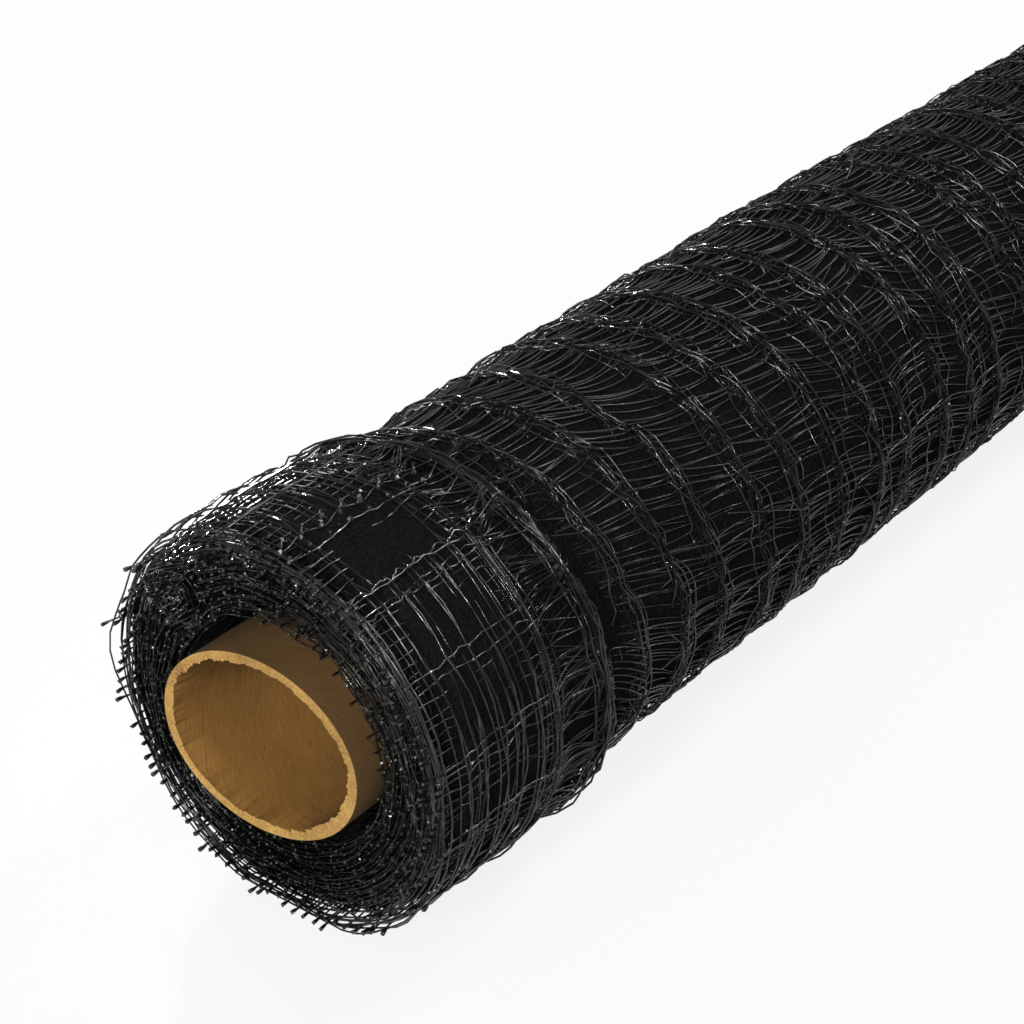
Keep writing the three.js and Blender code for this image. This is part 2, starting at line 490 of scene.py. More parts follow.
def kinks(rng: np.random.Generator, runs: int, knots: int, spread: Any, where: Array) -> Array:
    """Random bends of several strands, each kinked at its knots.

    Args:
        rng: Seeded source.
        runs: How many strands.
        knots: How many knots on each.
        spread: Standard deviation, as a number or one value for each strand.
        where: Knot numbers at which to read.

    Returns:
        The bend of each strand at each place.
    """
    values = rng.normal(0.0, 1.0, (runs, knots)) * np.asarray(spread).reshape(-1, 1)
    return between(values, where)


@dataclass(frozen=True)
class Lump:
    """A broad swelling or hollow on one side of the roll."""

    from_near: float
    angle: float
    length: float
    rise: float


@dataclass(frozen=True)
class Curl:
    """A turn that has curled up on itself inside the near end."""

    angle: float = 45 * DEG
    radius: float = 44 * MM
    reach: float = 8.6 * MM
    depth: float = 34 * MM
    full_share: float = 0.4
    eye: float = 0.2 * MM

    def middle(self) -> Pair:
        """The curl's middle, across and up from the roll's axis."""
        return self.radius * math.cos(self.angle), self.radius * math.sin(self.angle)


@dataclass
class RollForm:
    """The wound form: where each turn of the netting lies at a place along the roll and an angle."""

    near_x: float
    axis_y: float
    axis_z: float
    net_width: float
    core_half_width: float
    core_half_height: float
    ring_pitch: float = 21.5 * MM
    ring_wobble: float = 2.5 * MM
    rise_wobble: float = 0.35
    dip_wobble: float = 0.4
    open_pitch: float = 15 * MM
    open_length: float = 50 * MM
    open_shares: Pair = (0.6, 1.15)
    edge_inset: float = 12 * MM
    edge_rise: float = 0.8 * MM
    edge_fade: float = 0.6
    waist_at: float = 66.5 * MM
    waist_rise: float = 1.5
    ring_rise: float = 1.3 * MM
    open_rise: float = 0.4 * MM
    ring_dip: float = 1.6 * MM
    waist_dip: float = 3.4 * MM
    ring_lean: float = 9 * MM
    lean_angle: float = 150 * DEG
    lean_length: float = 500 * MM
    mouth_radius: float = 33.6 * MM
    mouth_depth: float = 30 * MM
    seat_gap: float = 0.8 * MM
    funnel_depth: float = 4 * MM
    front_reach: float = 9 * MM
    front_angle: float = 145 * DEG
    free_angle: float = 121 * DEG
    mesh_angle: float = 22.7 * DEG
    arc_radius: float = 55 * MM
    turns: float = 28.0
    packing: float = 1.25
    body_step: float = 0.12 * MM
    twist_gain: float = 20 * MM
    twist_length: float = 70 * MM
    twist_rate: float = 0.05
    clump_angle: float = 140 * DEG
    clump_pitch: float = 27 * DEG
    groove_at: float = 79.5 * MM
    groove_angle: float = 172 * DEG
    groove_spread: float = 0.25
    groove_width: float = 6.5 * MM
    groove_depth: float = 4.2 * MM
    taut_share: float = 0.7
    taut_rings: float = 0.5
    over_share: float = 0.7
    taut_from: Pair = (86 * MM, 100 * MM)
    taut_under: float = 222 * DEG
    taut_over: float = 75 * DEG
    taut_spread: float = 0.12
    patch_spread: float = 0.03
    floor_gap: float = 0.6 * MM
    hollow_turns: Pair = (0.85, 1.1)
    hollows: tuple[Lump, ...] = (
        Lump(20 * MM, 52 * DEG, 20 * MM, 2.6 * MM),
    )
    lift_turns: Pair = (0.9, 1.5)
    lifts: tuple[Lump, ...] = (
        Lump(24 * MM, 53 * DEG, 24 * MM, 1.6 * MM),
        Lump(0.0, 7 * DEG, 24 * MM, 2.3 * MM),
        Lump(0.0, -57 * DEG, 20 * MM, 1.7 * MM),
    )
    curl: Curl = Curl()
    profile: tuple[Pair, ...] = (
        (0, 57.0), (25, 57.8), (50, 58.2), (66, 56.2), (88, 53.6), (130, 54.0), (200, 54.6),
        (400, 54.4), (530, 54.0), (565, 56.6), (590, 57.4), (610, 57.0),
    )
    lumps: tuple[Lump, ...] = (
        Lump(56 * MM, 225 * DEG, 16 * MM, 1.4 * MM),
        Lump(88 * MM, 80 * DEG, 24 * MM, -1.3 * MM),
        Lump(190 * MM, 150 * DEG, 45 * MM, 0.7 * MM),
        Lump(290 * MM, 60 * DEG, 55 * MM, 0.6 * MM),
        Lump(385 * MM, 200 * DEG, 50 * MM, -0.7 * MM),
        Lump(480 * MM, 110 * DEG, 45 * MM, 0.8 * MM),
    )

    @classmethod
    def from_frame(cls) -> "RollForm":
        """Reads the roll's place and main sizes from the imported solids.

        Returns:
            The form.
        """
        low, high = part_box("netting_roll")
        core_low, core_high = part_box("core_tube")
        middle = (Vector(core_low) + Vector(core_high)) / 2
        half = (Vector(core_high) - Vector(core_low)) / 2
        return cls(low[0], middle.y, middle.z, high[0] - low[0], half.y, half.z)

    def __post_init__(self) -> None:
        """Works out the rings and the tables that are read along the roll."""
        self.rings = self._ring_rows()
        rows = np.array(self.profile) * MM
        self._profile_at, self._profile_radius = rows[:, 0], rows[:, 1]
        knots, heights = [0.0], [0.0]
        for row, (at, rise, dip) in enumerate(self.rings):
            knots.append(at)
            heights.append(rise)
            if row + 1 < len(self.rings):
                knots.append((at + self.rings[row + 1][0]) / 2)
                heights.append(-dip)
        self._relief_at = np.array([*knots, self.net_width])
        self._relief = np.array([*heights, 0.0])

    def _ring_rows(self) -> list[tuple[float, float, float]]:
        """Place, rise and following dip of each gathered ring, from the near edge on.

        Returns:
            A row for each ring.
        """

        def wobble(number: int) -> float:
            """An even, repeatable wobble between -1 and 1."""
            return math.sin(2.4 * number + 0.9 * math.sin(1.7 * number))

        count = int((self.open_length - self.edge_inset) / self.open_pitch) + 1
        near = [self.edge_inset + k * self.open_pitch for k in range(count)]
        rows = [(at, self.open_rise, self.open_rise) for at in near]
        rows[-1] = (near[-1], self.open_rise, self.ring_dip)
        rows.append((self.waist_at, self.waist_rise * self.ring_rise, self.waist_dip))
        start = self.waist_at + self.ring_pitch
        stop = self.net_width - self.open_length - self.ring_pitch / 2
        for k in range(int((stop - start) / self.ring_pitch) + 1):
            at = start + k * self.ring_pitch + self.ring_wobble * wobble(k)
            rise = self.ring_rise * (1 + self.rise_wobble * wobble(k + 5))
            dip = self.ring_dip * (1 + self.dip_wobble * wobble(k + 9))
            rows.append((at, rise, dip))
        rows += [(self.net_width - at, self.open_rise, self.open_rise) for at in reversed(near)]
        return rows

    def from_end(self, along: Any) -> Any:
        """Distance to the nearer cut edge."""
        return np.minimum(along, self.net_width - along)

    def inside(self, along: Any, first: float, last: float) -> Any:
        """Rises from 0 at the loose ends to 1 along the body, between two shares of the loose length."""
        return smooth(self.from_end(along), first * self.open_length, last * self.open_length)

    def lean(self, along: Array, angle: Array) -> Array:
        """How far a ring leans along the roll at an angle; the loose ends stay square."""
        inside = smooth(self.from_end(along), self.open_length, self.open_length + 2 * self.ring_pitch)
        return self.ring_lean * inside * np.sin(angle - self.lean_angle - along / self.lean_length)

    def surface(self, along: Array, angle: Array, taut: Any = 0.0) -> Array:
        """Radius of the wound netting's outside, pressed flat where it meets the floor.

        Args:
            along: Place from the near edge.
            angle: Angle around the roll.
            taut: How far strands span the dips between rings, from 0 to 1.

        Returns:
            The outside's distance from the axis.
        """
        relief = eased(along, self._relief_at, self._relief)
        relief = relief * np.where(relief < 0, 1.0 - taut, 1.0 - self.taut_rings * taut)
        radius = eased(along, self._profile_at, self._profile_radius) + relief
        for lump in self.lumps:
            towards = np.maximum(0.0, np.cos(angle - lump.angle))
            radius = radius + lump.rise * towards * bell(along, lump.from_near, lump.length)
        down = np.maximum(-np.sin(angle), 1e-6)
        return np.minimum(radius, self.axis_z / down)

    def core_radius(self, angle: Array) -> Array:
        """Radius of the oval core's outside."""
        return 1.0 / np.hypot(np.cos(angle) / self.core_half_width, np.sin(angle) / self.core_half_height)

    def cut_edge(self, angle: Array, turn: Array) -> Array:
        """How far a turn's cut edge lies behind the netting's foremost edge.

        Args:
            angle: Angle around the roll.
            turn: Turns in from the free edge.

        Returns:
            The distance.
        """
        inward = np.clip(turn / self.turns, 0.0, 1.0)
        front = self.front_reach * (1 - np.cos(angle - self.front_angle)) / 2
        return front * (1 - inward) + self.funnel_depth * inward

    def turn_radius(self, along: Array, angle: Array, turn: Array) -> Array:
        """Radius of a turn: evenly parted at the loose ends, packed close along the body.

        Args:
            along: Place from the near edge.
            angle: Angle around the roll.
            turn: Turns in from the free edge.

        Returns:
            The turn's distance from the axis.
        """
        outer = self._outer_radius(along, angle, turn)
        open_share = 1.0 - self.inside(along, *self.open_shares)
        hollow = 1.0 - smooth(self.from_end(along), self.funnel_depth, self.mouth_depth)
        seat = self.core_radius(angle) + self.seat_gap
        inner = seat + (self.mouth_radius - seat) * hollow
        spread = (outer - inner) * np.clip(turn / self.turns, 0.0, 1.0) ** self.packing
        return outer - open_share * spread - (1 - open_share) * self.body_step * turn

    def _outer_radius(self, along: Array, angle: Array, turn: Array) -> Array:
        """Radius of the outside as one turn finds it, with what lifts or sinks that turn.

        Args:
            along: Place from the near edge.
            angle: Angle around the roll.
            turn: Turns in from the free edge.

        Returns:
            The outside's distance from the axis.
        """
        under = facing(angle, self.taut_under, self.taut_spread)
        over = facing(angle, self.taut_over, self.taut_spread)
        taut = self.taut_share + (1.0 - self.taut_share) * np.maximum(under, self.over_share * over)
        taut = taut * smooth(along, *self.taut_from)
        outer = self.surface(along, angle, taut) + self.edge_rise * np.exp(-turn / self.edge_fade)
        lifted = 1.0 - smooth(turn, *self.lift_turns)
        for lift in self.lifts:
            outer = outer + lift.rise * self.patch(lift, along, angle) * lifted
        sunk = smooth(turn, *self.hollow_turns)
        for hollow in self.hollows:
            outer = outer - hollow.rise * self.patch(hollow, along, angle) * sunk
        front = facing(angle, self.groove_angle, self.groove_spread)
        return outer - self.groove_depth * front * bell(along, self.groove_at, self.groove_width)

    def patch(self, lump: Lump, along: Array, angle: Array) -> Array:
        """How much of a narrow lump is felt at a place."""
        off = (along - lump.from_near) / lump.length
        return np.exp((np.cos(angle - lump.angle) - 1.0) / self.patch_spread - off**2)

    def twist(self, along: Array) -> Array:
        """How far the strands along the roll have slid round it past the waist, as an arc."""
        past = np.maximum(along - self.waist_at, 0.0)
        return self.twist_gain * (1.0 - np.exp(-past / self.twist_length)) + self.twist_rate * past

    def clump(self, angle: Array) -> Array:
        """The nearest place round the waist to which strands are drawn."""
        return self.clump_angle + np.round((angle - self.clump_angle) / self.clump_pitch) * self.clump_pitch

    def point(self, along: Array, angle: Array, radius: Array) -> Array:
        """Points of the roll in the frame, pushed aside by the curl and kept off the floor.

        Args:
            along: Place from the near edge.
            angle: Angle around the roll.
            radius: Distance from the axis.

        Returns:
            An array with one more axis, of X, Y and Z.
        """
        across, up = radius * np.cos(angle), radius * np.sin(angle)
        curl_y, curl_z = self.curl.middle()
        away = np.maximum(np.hypot(across - curl_y, up - curl_z), self.curl.eye)
        full_depth = self.curl.full_share * self.curl.depth
        reach = self.curl.reach * (1.0 - smooth(along, full_depth, self.curl.depth))
        pushed = (away**4 + reach**4) ** 0.25 / away
        across = curl_y + (across - curl_y) * pushed
        up = curl_z + (up - curl_z) * pushed
        x = self.near_x + along + self.lean(along, angle)
        z = np.maximum(self.axis_z + up, self.floor_gap)
        return np.stack(np.broadcast_arrays(x, self.axis_y + across, z), axis=-1)


class StrandBundle:
    """Collects strands as slim tubes, and welds as small facets, and joins them into one mesh."""

    WELD_SEED = 7
    WELD_STRETCH = (0.5, 1.4)
    WELD_CORNERS = ((1, 0, 0), (0, 1, 0), (-1, 0, 0), (0, -1, 0), (0, 0, 1), (0, 0, -1))
    WELD_FACES = ((0, 1, 4), (1, 2, 4), (2, 3, 4), (3, 0, 4), (1, 0, 5), (2, 1, 5), (3, 2, 5), (0, 3, 5))
    SPARE_SIDE = (0.83, 0.31, 0.46)

    def __init__(self, form: RollForm) -> None:
        """Starts an empty bundle for one roll.

        Args:
            form: The roll.
        """
        self.form = form
        self.points: list[Array] = []
        self.quads: list[Array] = [np.zeros((0, 4), int)]
        self.triangles: list[Array] = [np.zeros((0, 3), int)]
        self.knots: list[Array] = []
        self.rng = np.random.default_rng(self.WELD_SEED)
        self.count = 0

    def lay(
        self, along: Array, angle: Array, radius: Array, thickness: Any, sides: int
    ) -> Array:
        """Adds tubes whose paths are given as places on the roll.

        Args:
            along: Place of each path's points from the near edge.
            angle: Their angle around the roll.
            radius: Their distance from the axis.
            thickness: Tube thickness, as a number or an array of paths and points.
            sides: Sides of a tube, 3 or 4.

        Returns:
            The paths, as an array of paths, points and coordinates.
        """
        paths = self.form.point(along, angle, radius)
        self.add(paths, thickness, sides)
        return paths

    def add(self, paths: Array, thickness: Any, sides: int) -> None:
        """Adds a tube along each of several paths with equally many points.

        Args:
            paths: Array of paths, points and coordinates.
            thickness: Tube thickness, as a number or an array of paths and points.
            sides: Sides of a tube, 3 or 4.
        """
        runs, steps, _ = paths.shape
        normal, side = self._across(paths)
        half = np.broadcast_to(np.asarray(thickness) / 2, (runs, steps))[..., None, None]
        turn = FULL_TURN * np.arange(sides) / sides
        spokes = np.cos(turn)[:, None] * normal[..., None, :] + np.sin(turn)[:, None] * side[..., None, :]
        ring = paths[..., None, :] + half * spokes
        index = self.count + np.arange(runs * steps * sides).reshape(runs, steps, sides)
        after = np.roll(index, -1, axis=2)
        walls = np.stack([index[:, :-1], after[:, :-1], after[:, 1:], index[:, 1:]], axis=-1)
        self._take(ring, 0.0)
        self.quads.append(walls.reshape(-1, 4))
        caps = self.quads if sides == 4 else self.triangles
        caps.append(index[:, 0, ::-1].reshape(-1, sides))
        caps.append(index[:, -1].reshape(-1, sides))

    def _across(self, paths: Array) -> tuple[Array, Array]:
        """Two directions square to each path, the first facing away from the roll's axis.

        Args:
            paths: Array of paths, points and coordinates.

        Returns:
            The outward and the sideways directions.
        """
        tangent = np.gradient(paths, axis=1)
        tangent /= np.maximum(np.linalg.norm(tangent, axis=2, keepdims=True), 1e-9)
        outward = paths - np.array([0.0, self.form.axis_y, self.form.axis_z])
        outward[..., 0] = 0.0
        side = np.cross(tangent, outward)
        reach = np.linalg.norm(outward, axis=2, keepdims=True)
        weak = np.linalg.norm(side, axis=2, keepdims=True) < 0.25 * reach
        side = np.where(weak, np.cross(tangent, np.array(self.SPARE_SIDE)), side)
        side /= np.maximum(np.linalg.norm(side, axis=2, keepdims=True), 1e-9)
        return np.cross(side, tangent), side

    def _take(self, points: Array, knot: float) -> None:
        """Takes in points and marks them as weld or strand.

        Args:
            points: The points.
            knot: 1 for a weld, 0 for a strand.
        """
        rows = points.reshape(-1, 3)
        self.points.append(rows)
        self.knots.append(np.full(len(rows), knot))
        self.count += len(rows)

    def add_knots(self, centres: Array, size: float) -> None:
        """Adds a small eight-sided weld at each point, each turned its own way.

        Args:
            centres: Array of points.
            size: Half the weld's width.
        """
        centres = centres.reshape(-1, 3)
        turns, _ = np.linalg.qr(self.rng.normal(size=(len(centres), 3, 3)))
        turns *= np.sign(np.linalg.det(turns))[:, None, None]
        stretch = self.rng.uniform(*self.WELD_STRETCH, (len(centres), 1, 3))
        corners = np.array(self.WELD_CORNERS) * size
        start = self.count + len(corners) * np.arange(len(centres))[:, None, None]
        self.triangles.append((start + np.array(self.WELD_FACES)).reshape(-1, 3))
        self._take(centres[:, None, :] + (corners * stretch) @ turns, 1.0)

    def piece(self, name: str, material: bpy.types.Material) -> bpy.types.Object:
        """Joins the strands into one mesh object, with smooth tubes and flat welds.

        Args:
            name: The piece's name.
            material: Its finish.

        Returns:
            The new object, linked to the scene.
        """
        quads, triangles = np.concatenate(self.quads), np.concatenate(self.triangles)
        points = np.concatenate(self.points)
        mesh = bpy.data.meshes.new(name)
        mesh.vertices.add(len(points))
        mesh.vertices.foreach_set("co", points.astype(np.float32).ravel())
        corners = np.concatenate([quads.ravel(), triangles.ravel()])
        mesh.loops.add(len(corners))
        mesh.loops.foreach_set("vertex_index", corners.astype(np.int32))
        starts = np.concatenate([4 * np.arange(len(quads)), 4 * len(quads) + 3 * np.arange(len(triangles))])
        mesh.polygons.add(len(starts))
        mesh.polygons.foreach_set("loop_start", starts.astype(np.int32))
        mesh.polygons.foreach_set("use_smooth", np.arange(len(starts)) < len(quads))
        mesh.update(calc_edges=True)
        mesh.validate()
        mesh.attributes.new("knot", "FLOAT", "POINT").data.foreach_set("value", np.concatenate(self.knots))
        mesh.materials.append(material)
        made = bpy.data.objects.new(name, mesh)
        bpy.context.collection.objects.link(made)
        LOG.info("%s: %d triangles", name, 2 * len(quads) + len(triangles))
        return made


@dataclass
class FreeEdge:
    """The netting's free edge at its near end: two close strands, and the knotted one above them."""

    form: RollForm
    strand: float
    first_row: float
    row_pitch: float
    reach: float = 1.15
    step: float = 0.5 * MM
    arc_radius: float = 57 * MM
    pair_gap: float = 5 * MM
    scallop: float = 1.5 * MM
    inner_scallop: float = 0.15
    bend: float = 0.3 * MM
    bend_pitch: float = 1.25 * MM
    bend_knots: int = 60
    lift: float = 0.2 * MM
    bead_angle: float = 96.8 * DEG
    bead_reach: float = 1.1
    bead_step: float = 1.0 * MM
    bead_sway: float = 0.012
    bead_wave: float = 2.3 * MM
    bead_lift: float = 0.1 * MM
    bead_share: float = 0.8
    link_from: float = 0.1
    link_length: float = 3.9 * MM
    link_rise: float = 2.9 * MM
    link_cross: float = 0.3
    link_lift: float = 0.9 * MM
    link_share: float = 0.9
    link_welds: tuple[int, ...] = (0, 0, 2, 5, 5)
    link_weld: float = 0.72 * MM
    foot_drop: float = 0.066
    foot_lift: float = 0.4 * MM
    foot_weld: float = 0.6 * MM

    def add(self, bundle: StrandBundle, rng: np.random.Generator) -> None:
        """Adds the two strands, the outer one in scallops, and the knotted one.

        Args:
            bundle: Where the strands go.
            rng: Seeded source of their bends.
        """
        form = self.form
        along = np.arange(self.first_row, self.reach * form.open_length, self.step)[None, :]
        wave = np.abs(np.sin(math.pi * (along - self.first_row) / self.row_pitch))
        for offset in (-self.scallop * wave, self.pair_gap + self.inner_scallop * self.scallop * wave):
            bend = kinks(rng, 1, self.bend_knots, self.bend, along / self.bend_pitch)
            angle = form.free_angle + (offset + bend) / self.arc_radius
            radius = form.turn_radius(along, angle, np.zeros_like(along)) + self.lift
            bundle.lay(along, angle, radius, self.strand, 4)
        self._add_beads(bundle)

    def _add_beads(self, bundle: StrandBundle) -> None:
        """Adds the knotted double strand that shows in the dark strip above the free edge.

        Args:
            bundle: Where the strands go.
        """
        form = self.form
        end = self.bead_reach * form.open_length
        along = np.arange(self.first_row, end, self.bead_step)[None, :]
        angle = self.bead_angle + self.bead_sway * np.sin(along / self.bead_wave)
        radius = form.surface(along, angle) + self.bead_lift
        bundle.lay(along, angle, radius, self.bead_share * self.strand, 4)
        rows = np.arange(self.first_row + self.link_from * self.row_pitch, end, self.row_pitch)[:, None]
        share = shares(6)
        link = rows + self.link_length * share
        angle = self.bead_angle - self.link_rise / self.arc_radius * (share - self.link_cross)
        radius = form.surface(link, angle) + self.link_lift
        paths = bundle.lay(link, angle, radius, self.link_share * self.strand, 4)
        bundle.add_knots(paths[:, list(self.link_welds)], self.link_weld)
        below = self.bead_angle + self.foot_drop
        feet = form.point(rows, below, form.surface(rows, below) + self.foot_lift)
        bundle.add_knots(np.repeat(feet.reshape(-1, 3), 2, axis=0), self.foot_weld)


@dataclass
class Ridge:
    """Straight strands along the top of the near end, and a finer mesh just under them."""

    form: RollForm
    strand: float
    rows: Array
    row_pitch: float
    seed: int = 17
    angles: tuple[float, ...] = (79.5 * DEG, 78.7 * DEG, 67.0 * DEG)
    level: float = 1.3 * MM
    thick_share: float = 1.2
    under_span: Pair = (57 * DEG, 95 * DEG)
    under_step: float = 3.5 * DEG
    under_level: float = -1.2 * MM
    under_share: float = 0.65
    row_level: float = -0.9 * MM
    row_places: Pair = (0.33, 0.67)
    row_bend: float = 0.5 * MM
    row_gaps: int = 8
    tip: float = 1.5 * MM
    bend: float = 0.005
    gaps: int = 10

    def add(self, bundle: StrandBundle) -> None:
        """Adds the strands along the ridge, those under them, and the rows that cross these.

        Args:
            bundle: Where the strands go.
        """
        form = self.form
        rng = np.random.default_rng(self.seed)
        share = shares(30)
        low, high = self.under_span
        over = (np.array(self.angles), self.level, self.thick_share)
        under = (np.arange(low, high, self.under_step), self.under_level, self.under_share)
        for angles, level, thickness in (over, under):
            angle = angles[:, None]
            start = form.cut_edge(angle, np.zeros_like(angle)) - self.tip
            along = start + (form.open_length - start) * share
            angle = angle + kinks(rng, len(angle), self.gaps + 2, self.bend, self.gaps * share)
            radius = form.surface(along, angle, 1.0) + level
            bundle.lay(along, angle, radius, thickness * self.strand, 4)
        rows = (self.rows[:, None] + np.array(self.row_places) * self.row_pitch).reshape(-1, 1)
        angle = low + (high - low) * share
        bend = kinks(rng, len(rows), self.row_gaps + 2, self.row_bend, self.row_gaps * share)
        along = rows + form.cut_edge(angle, np.zeros_like(angle)) + bend
        radius = form.surface(along, angle, 1.0) + self.row_level
        bundle.lay(along, angle, radius, self.under_share * self.strand, 4)


@dataclass
class WaistFan:
    """Strands that draw together from the last open row into the waist band."""

    form: RollForm
    seed: int = 15
    strands: int = 190
    strand: float = 0.42 * MM
    drawn: float = 0.8
    drawn_bend: float = 1.4
    scatter: float = 1.6 * MM
    first: Pair = (0.84, 1.0)
    bow: float = 1.3 * MM
    depth: Pair = (-0.5 * MM, 2.2 * MM)
    rise: float = 0.6

    def add(self, bundle: StrandBundle) -> None:
        """Adds the fan all round the roll.

        Args:
            bundle: Where the strands go.
        """
        form = self.form
        rng = np.random.default_rng(self.seed)
        shape = (self.strands, 1)
        share = shares(11)
        start = rng.uniform(0.0, FULL_TURN, shape)
        scatter = rng.normal(0.0, self.scatter, shape) / form.arc_radius
        stop = start + self.drawn * (form.clump(start) - start) + scatter
        first = rng.uniform(*self.first, shape) * form.open_length
        along = first + (form.waist_at - first) * share
        bow = rng.normal(0.0, self.bow, shape) / form.arc_radius * np.sin(math.pi * share)
        angle = start + (stop - start) * share**self.drawn_bend + bow
        depth = rng.uniform(*self.depth, shape)
        radius = form.surface(along, angle) - depth * (1 - self.rise * share)
        bundle.lay(along, angle, radius, self.strand, 3)


@dataclass
class OuterTurns:
    """The turns that can be seen into: strands round the roll and strands along it."""

    form: RollForm
    seed: int = 11
    fine_turns: float = 3.0
    seen_turns: float = 9.0
    rung_turns: float = 12.0
    knotted_turns: float = 2.0
    strand: float = 0.62 * MM
    weld: float = 0.5 * MM
    steps_per_turn: int = 66
    samples: int = 200
    row_pitch: float = 7.5 * MM
    first_row: float = 0.8 * MM
    near_wander: float = 0.35 * MM
    far_wander: float = 0.6 * MM
    last_gap: float = 2 * MM
    row_lift: float = 0.18 * MM
    wander_lift: float = 0.25
    level_lift: float = 0.8
    fine_lift: float = 0.6
    fine_wander: float = 0.9
    row_shifts: tuple[Pair, ...] = (
        (0.0, 0.0), (0.9, 0.0), (1.0, 0.16), (1.06, 0.18), (1.2, 0.42), (1.9, 0.42), (2.0, -0.2),
        (2.1, -0.14), (2.3, 0.15), (2.9, 0.15), (3.0, 0.4), (3.9, 0.4), (4.0, 0.0), (4.9, 0.1),
        (5.0, 0.5), (8.9, -0.2),
    )
    drift_spread: Pair = (0.4 * MM, 2.4 * MM)
    drift_reach: float = 1.6
    cell_bow: float = 0.7 * MM
    bow_inside: float = 0.25
    bow_span: Pair = (0.8, 1.2)
    bow_count: int = 400
    first_bows: tuple[float, ...] = (0.4 * MM, 1.6 * MM, 0.8 * MM, 0.5 * MM)
    flat_cells: tuple[int, int] = (12, 15)
    flat_bow: float = -0.4 * MM
    dark_from: Pair = (0.90, 0.93)
    dark_to: Pair = (0.99, 1.0)
    dark_depth: float = 2.4 * MM
    dark_under: float = 0.35
    band_offsets: tuple[float, ...] = (-0.9 * MM, 0.1 * MM, 0.9 * MM)
    band_wander: float = 0.7 * MM
    band_level: float = 0.6 * MM
    band_waves: int = 7
    band_phase: float = 40.0
    ring_offsets: tuple[float, ...] = (-0.2 * MM, 2.6 * MM, -2.4 * MM)
    ring_wander: float = 1.6 * MM
    ring_kink: float = 1.05 * MM
    ring_drift: float = 2.8 * MM
    ring_level: float = 0.7 * MM
    ring_lift: float = 0.25 * MM
    ring_share: float = 0.9
    ring_steps: int = 112
    ring_clear: float = 1 * MM
    ring_welds: int = 10
    body_rings: tuple[int, ...] = (3, 1, 1, 1, 1)
    ring_spread: float = 4.6 * MM
    spread_from: Pair = (110 * MM, 250 * MM)
    spread_angle: float = 165 * DEG
    spread_width: float = 0.3
    spread_least: float = 0.15
    sink: float = 3.8 * MM
    gather: float = 0.5 * MM
    gather_offsets: tuple[float, ...] = (-1.6 * MM, -0.6 * MM, 0.4 * MM, 1.4 * MM)
    gather_knots: int = 60
    gather_wander: float = 1.1 * MM
    gather_sink: float = 0.1 * MM
    gather_lift: float = 0.55 * MM
    hollow: float = 1.1 * MM
    hollow_knots: int = 36
    stub_near: Pair = (1.8 * MM, 4.0 * MM)
    stub_far: Pair = (1.0 * MM, 3.0 * MM)
    tip_length: float = 2.2 * MM
    tip_stations: tuple[float, ...] = (
        0.0, 0.8 * MM, 1.6 * MM, 2.4 * MM, 3.4 * MM, 5.0 * MM, 7.0 * MM,
    )
    tip_swell: float = 1.2
    flare: float = 1.4 * MM
    flare_length: float = 5 * MM
    zigzag: float = 0.25 * MM
    zigzag_from: Pair = (5 * MM, 12 * MM)
    rung_sag: float = 0.45 * MM
    rung_sway: float = 0.35
    slip_alone: Pair = (0.5 * MM, 0.5 * MM)
    slip_shared: Pair = (0.3 * MM, 1.9 * MM)
    slip_waves: tuple[int, ...] = (1, 2, 3, 5, 8)
    slip_gain: float = 0.8
    waist_pull: float = 0.75
    waist_scatter: float = 1.4 * MM
    loose_span: Pair = (0.9, 1.2)
    slant_angle: float = 75 * DEG
    slant_width: float = 0.35
    slant_least: float = 0.02
    slant_top: float = 0.12
    slant_most: float = 1.8

    def __post_init__(self) -> None:
        """Lays out the rows of strands round the roll, as place, wander and level or spread."""
        form = self.form
        self.rng = np.random.default_rng(self.seed)
        self.near_rows = np.arange(self.first_row, form.open_length - self.last_gap, self.row_pitch)
        rows = [(place, self.near_wander, 0.0) for place in self.near_rows]
        rows += [(form.waist_at + off, self.band_wander, self.band_level) for off in self.band_offsets]
        rows += [(form.net_width - place, self.far_wander, 0.0) for place in self.near_rows[::-1]]
        self.end_rows = np.array(rows)
        self.bows = np.random.default_rng(self.seed + 3).normal(0.0, self.cell_bow, self.bow_count)
        self.bows[: len(self.first_bows)] = self.first_bows
        self.bows[slice(*self.flat_cells)] = self.flat_bow
        far_limit = form.net_width - form.open_length
        self.body = [at for at, _, _ in form.rings if form.waist_at + self.ring_clear < at < far_limit]
        rows = []
        for off in self.ring_offsets:
            rows += [(at + off, self.ring_wander, float(np.sign(round(off / MM)))) for at in self.body]
        self.body_rows = np.array(rows)
        self.places = np.array([0.0, *[at for at, _, _ in form.rings], form.net_width])

    def _drift(self, turn: Array) -> Array:
        """How far a whole turn has slipped along the roll, against a spread of 1.

        Args:
            turn: Turns in from the free edge.

        Returns:
            The slip.
        """
        slips = np.random.default_rng(self.seed + 1).normal(0.0, 1.0, int(self.form.turns) + 2)
        slips[:2] = 0.0
        return np.interp(turn, np.arange(len(slips)), slips)

    def _row_shift(self, turn: Array) -> Array:
        """How far the rows of a loose end lie behind those of the free edge's turn, turn by turn."""
        turns, shifts = np.array(self.row_shifts).T
        return self.row_pitch * np.interp(turn, turns, shifts)

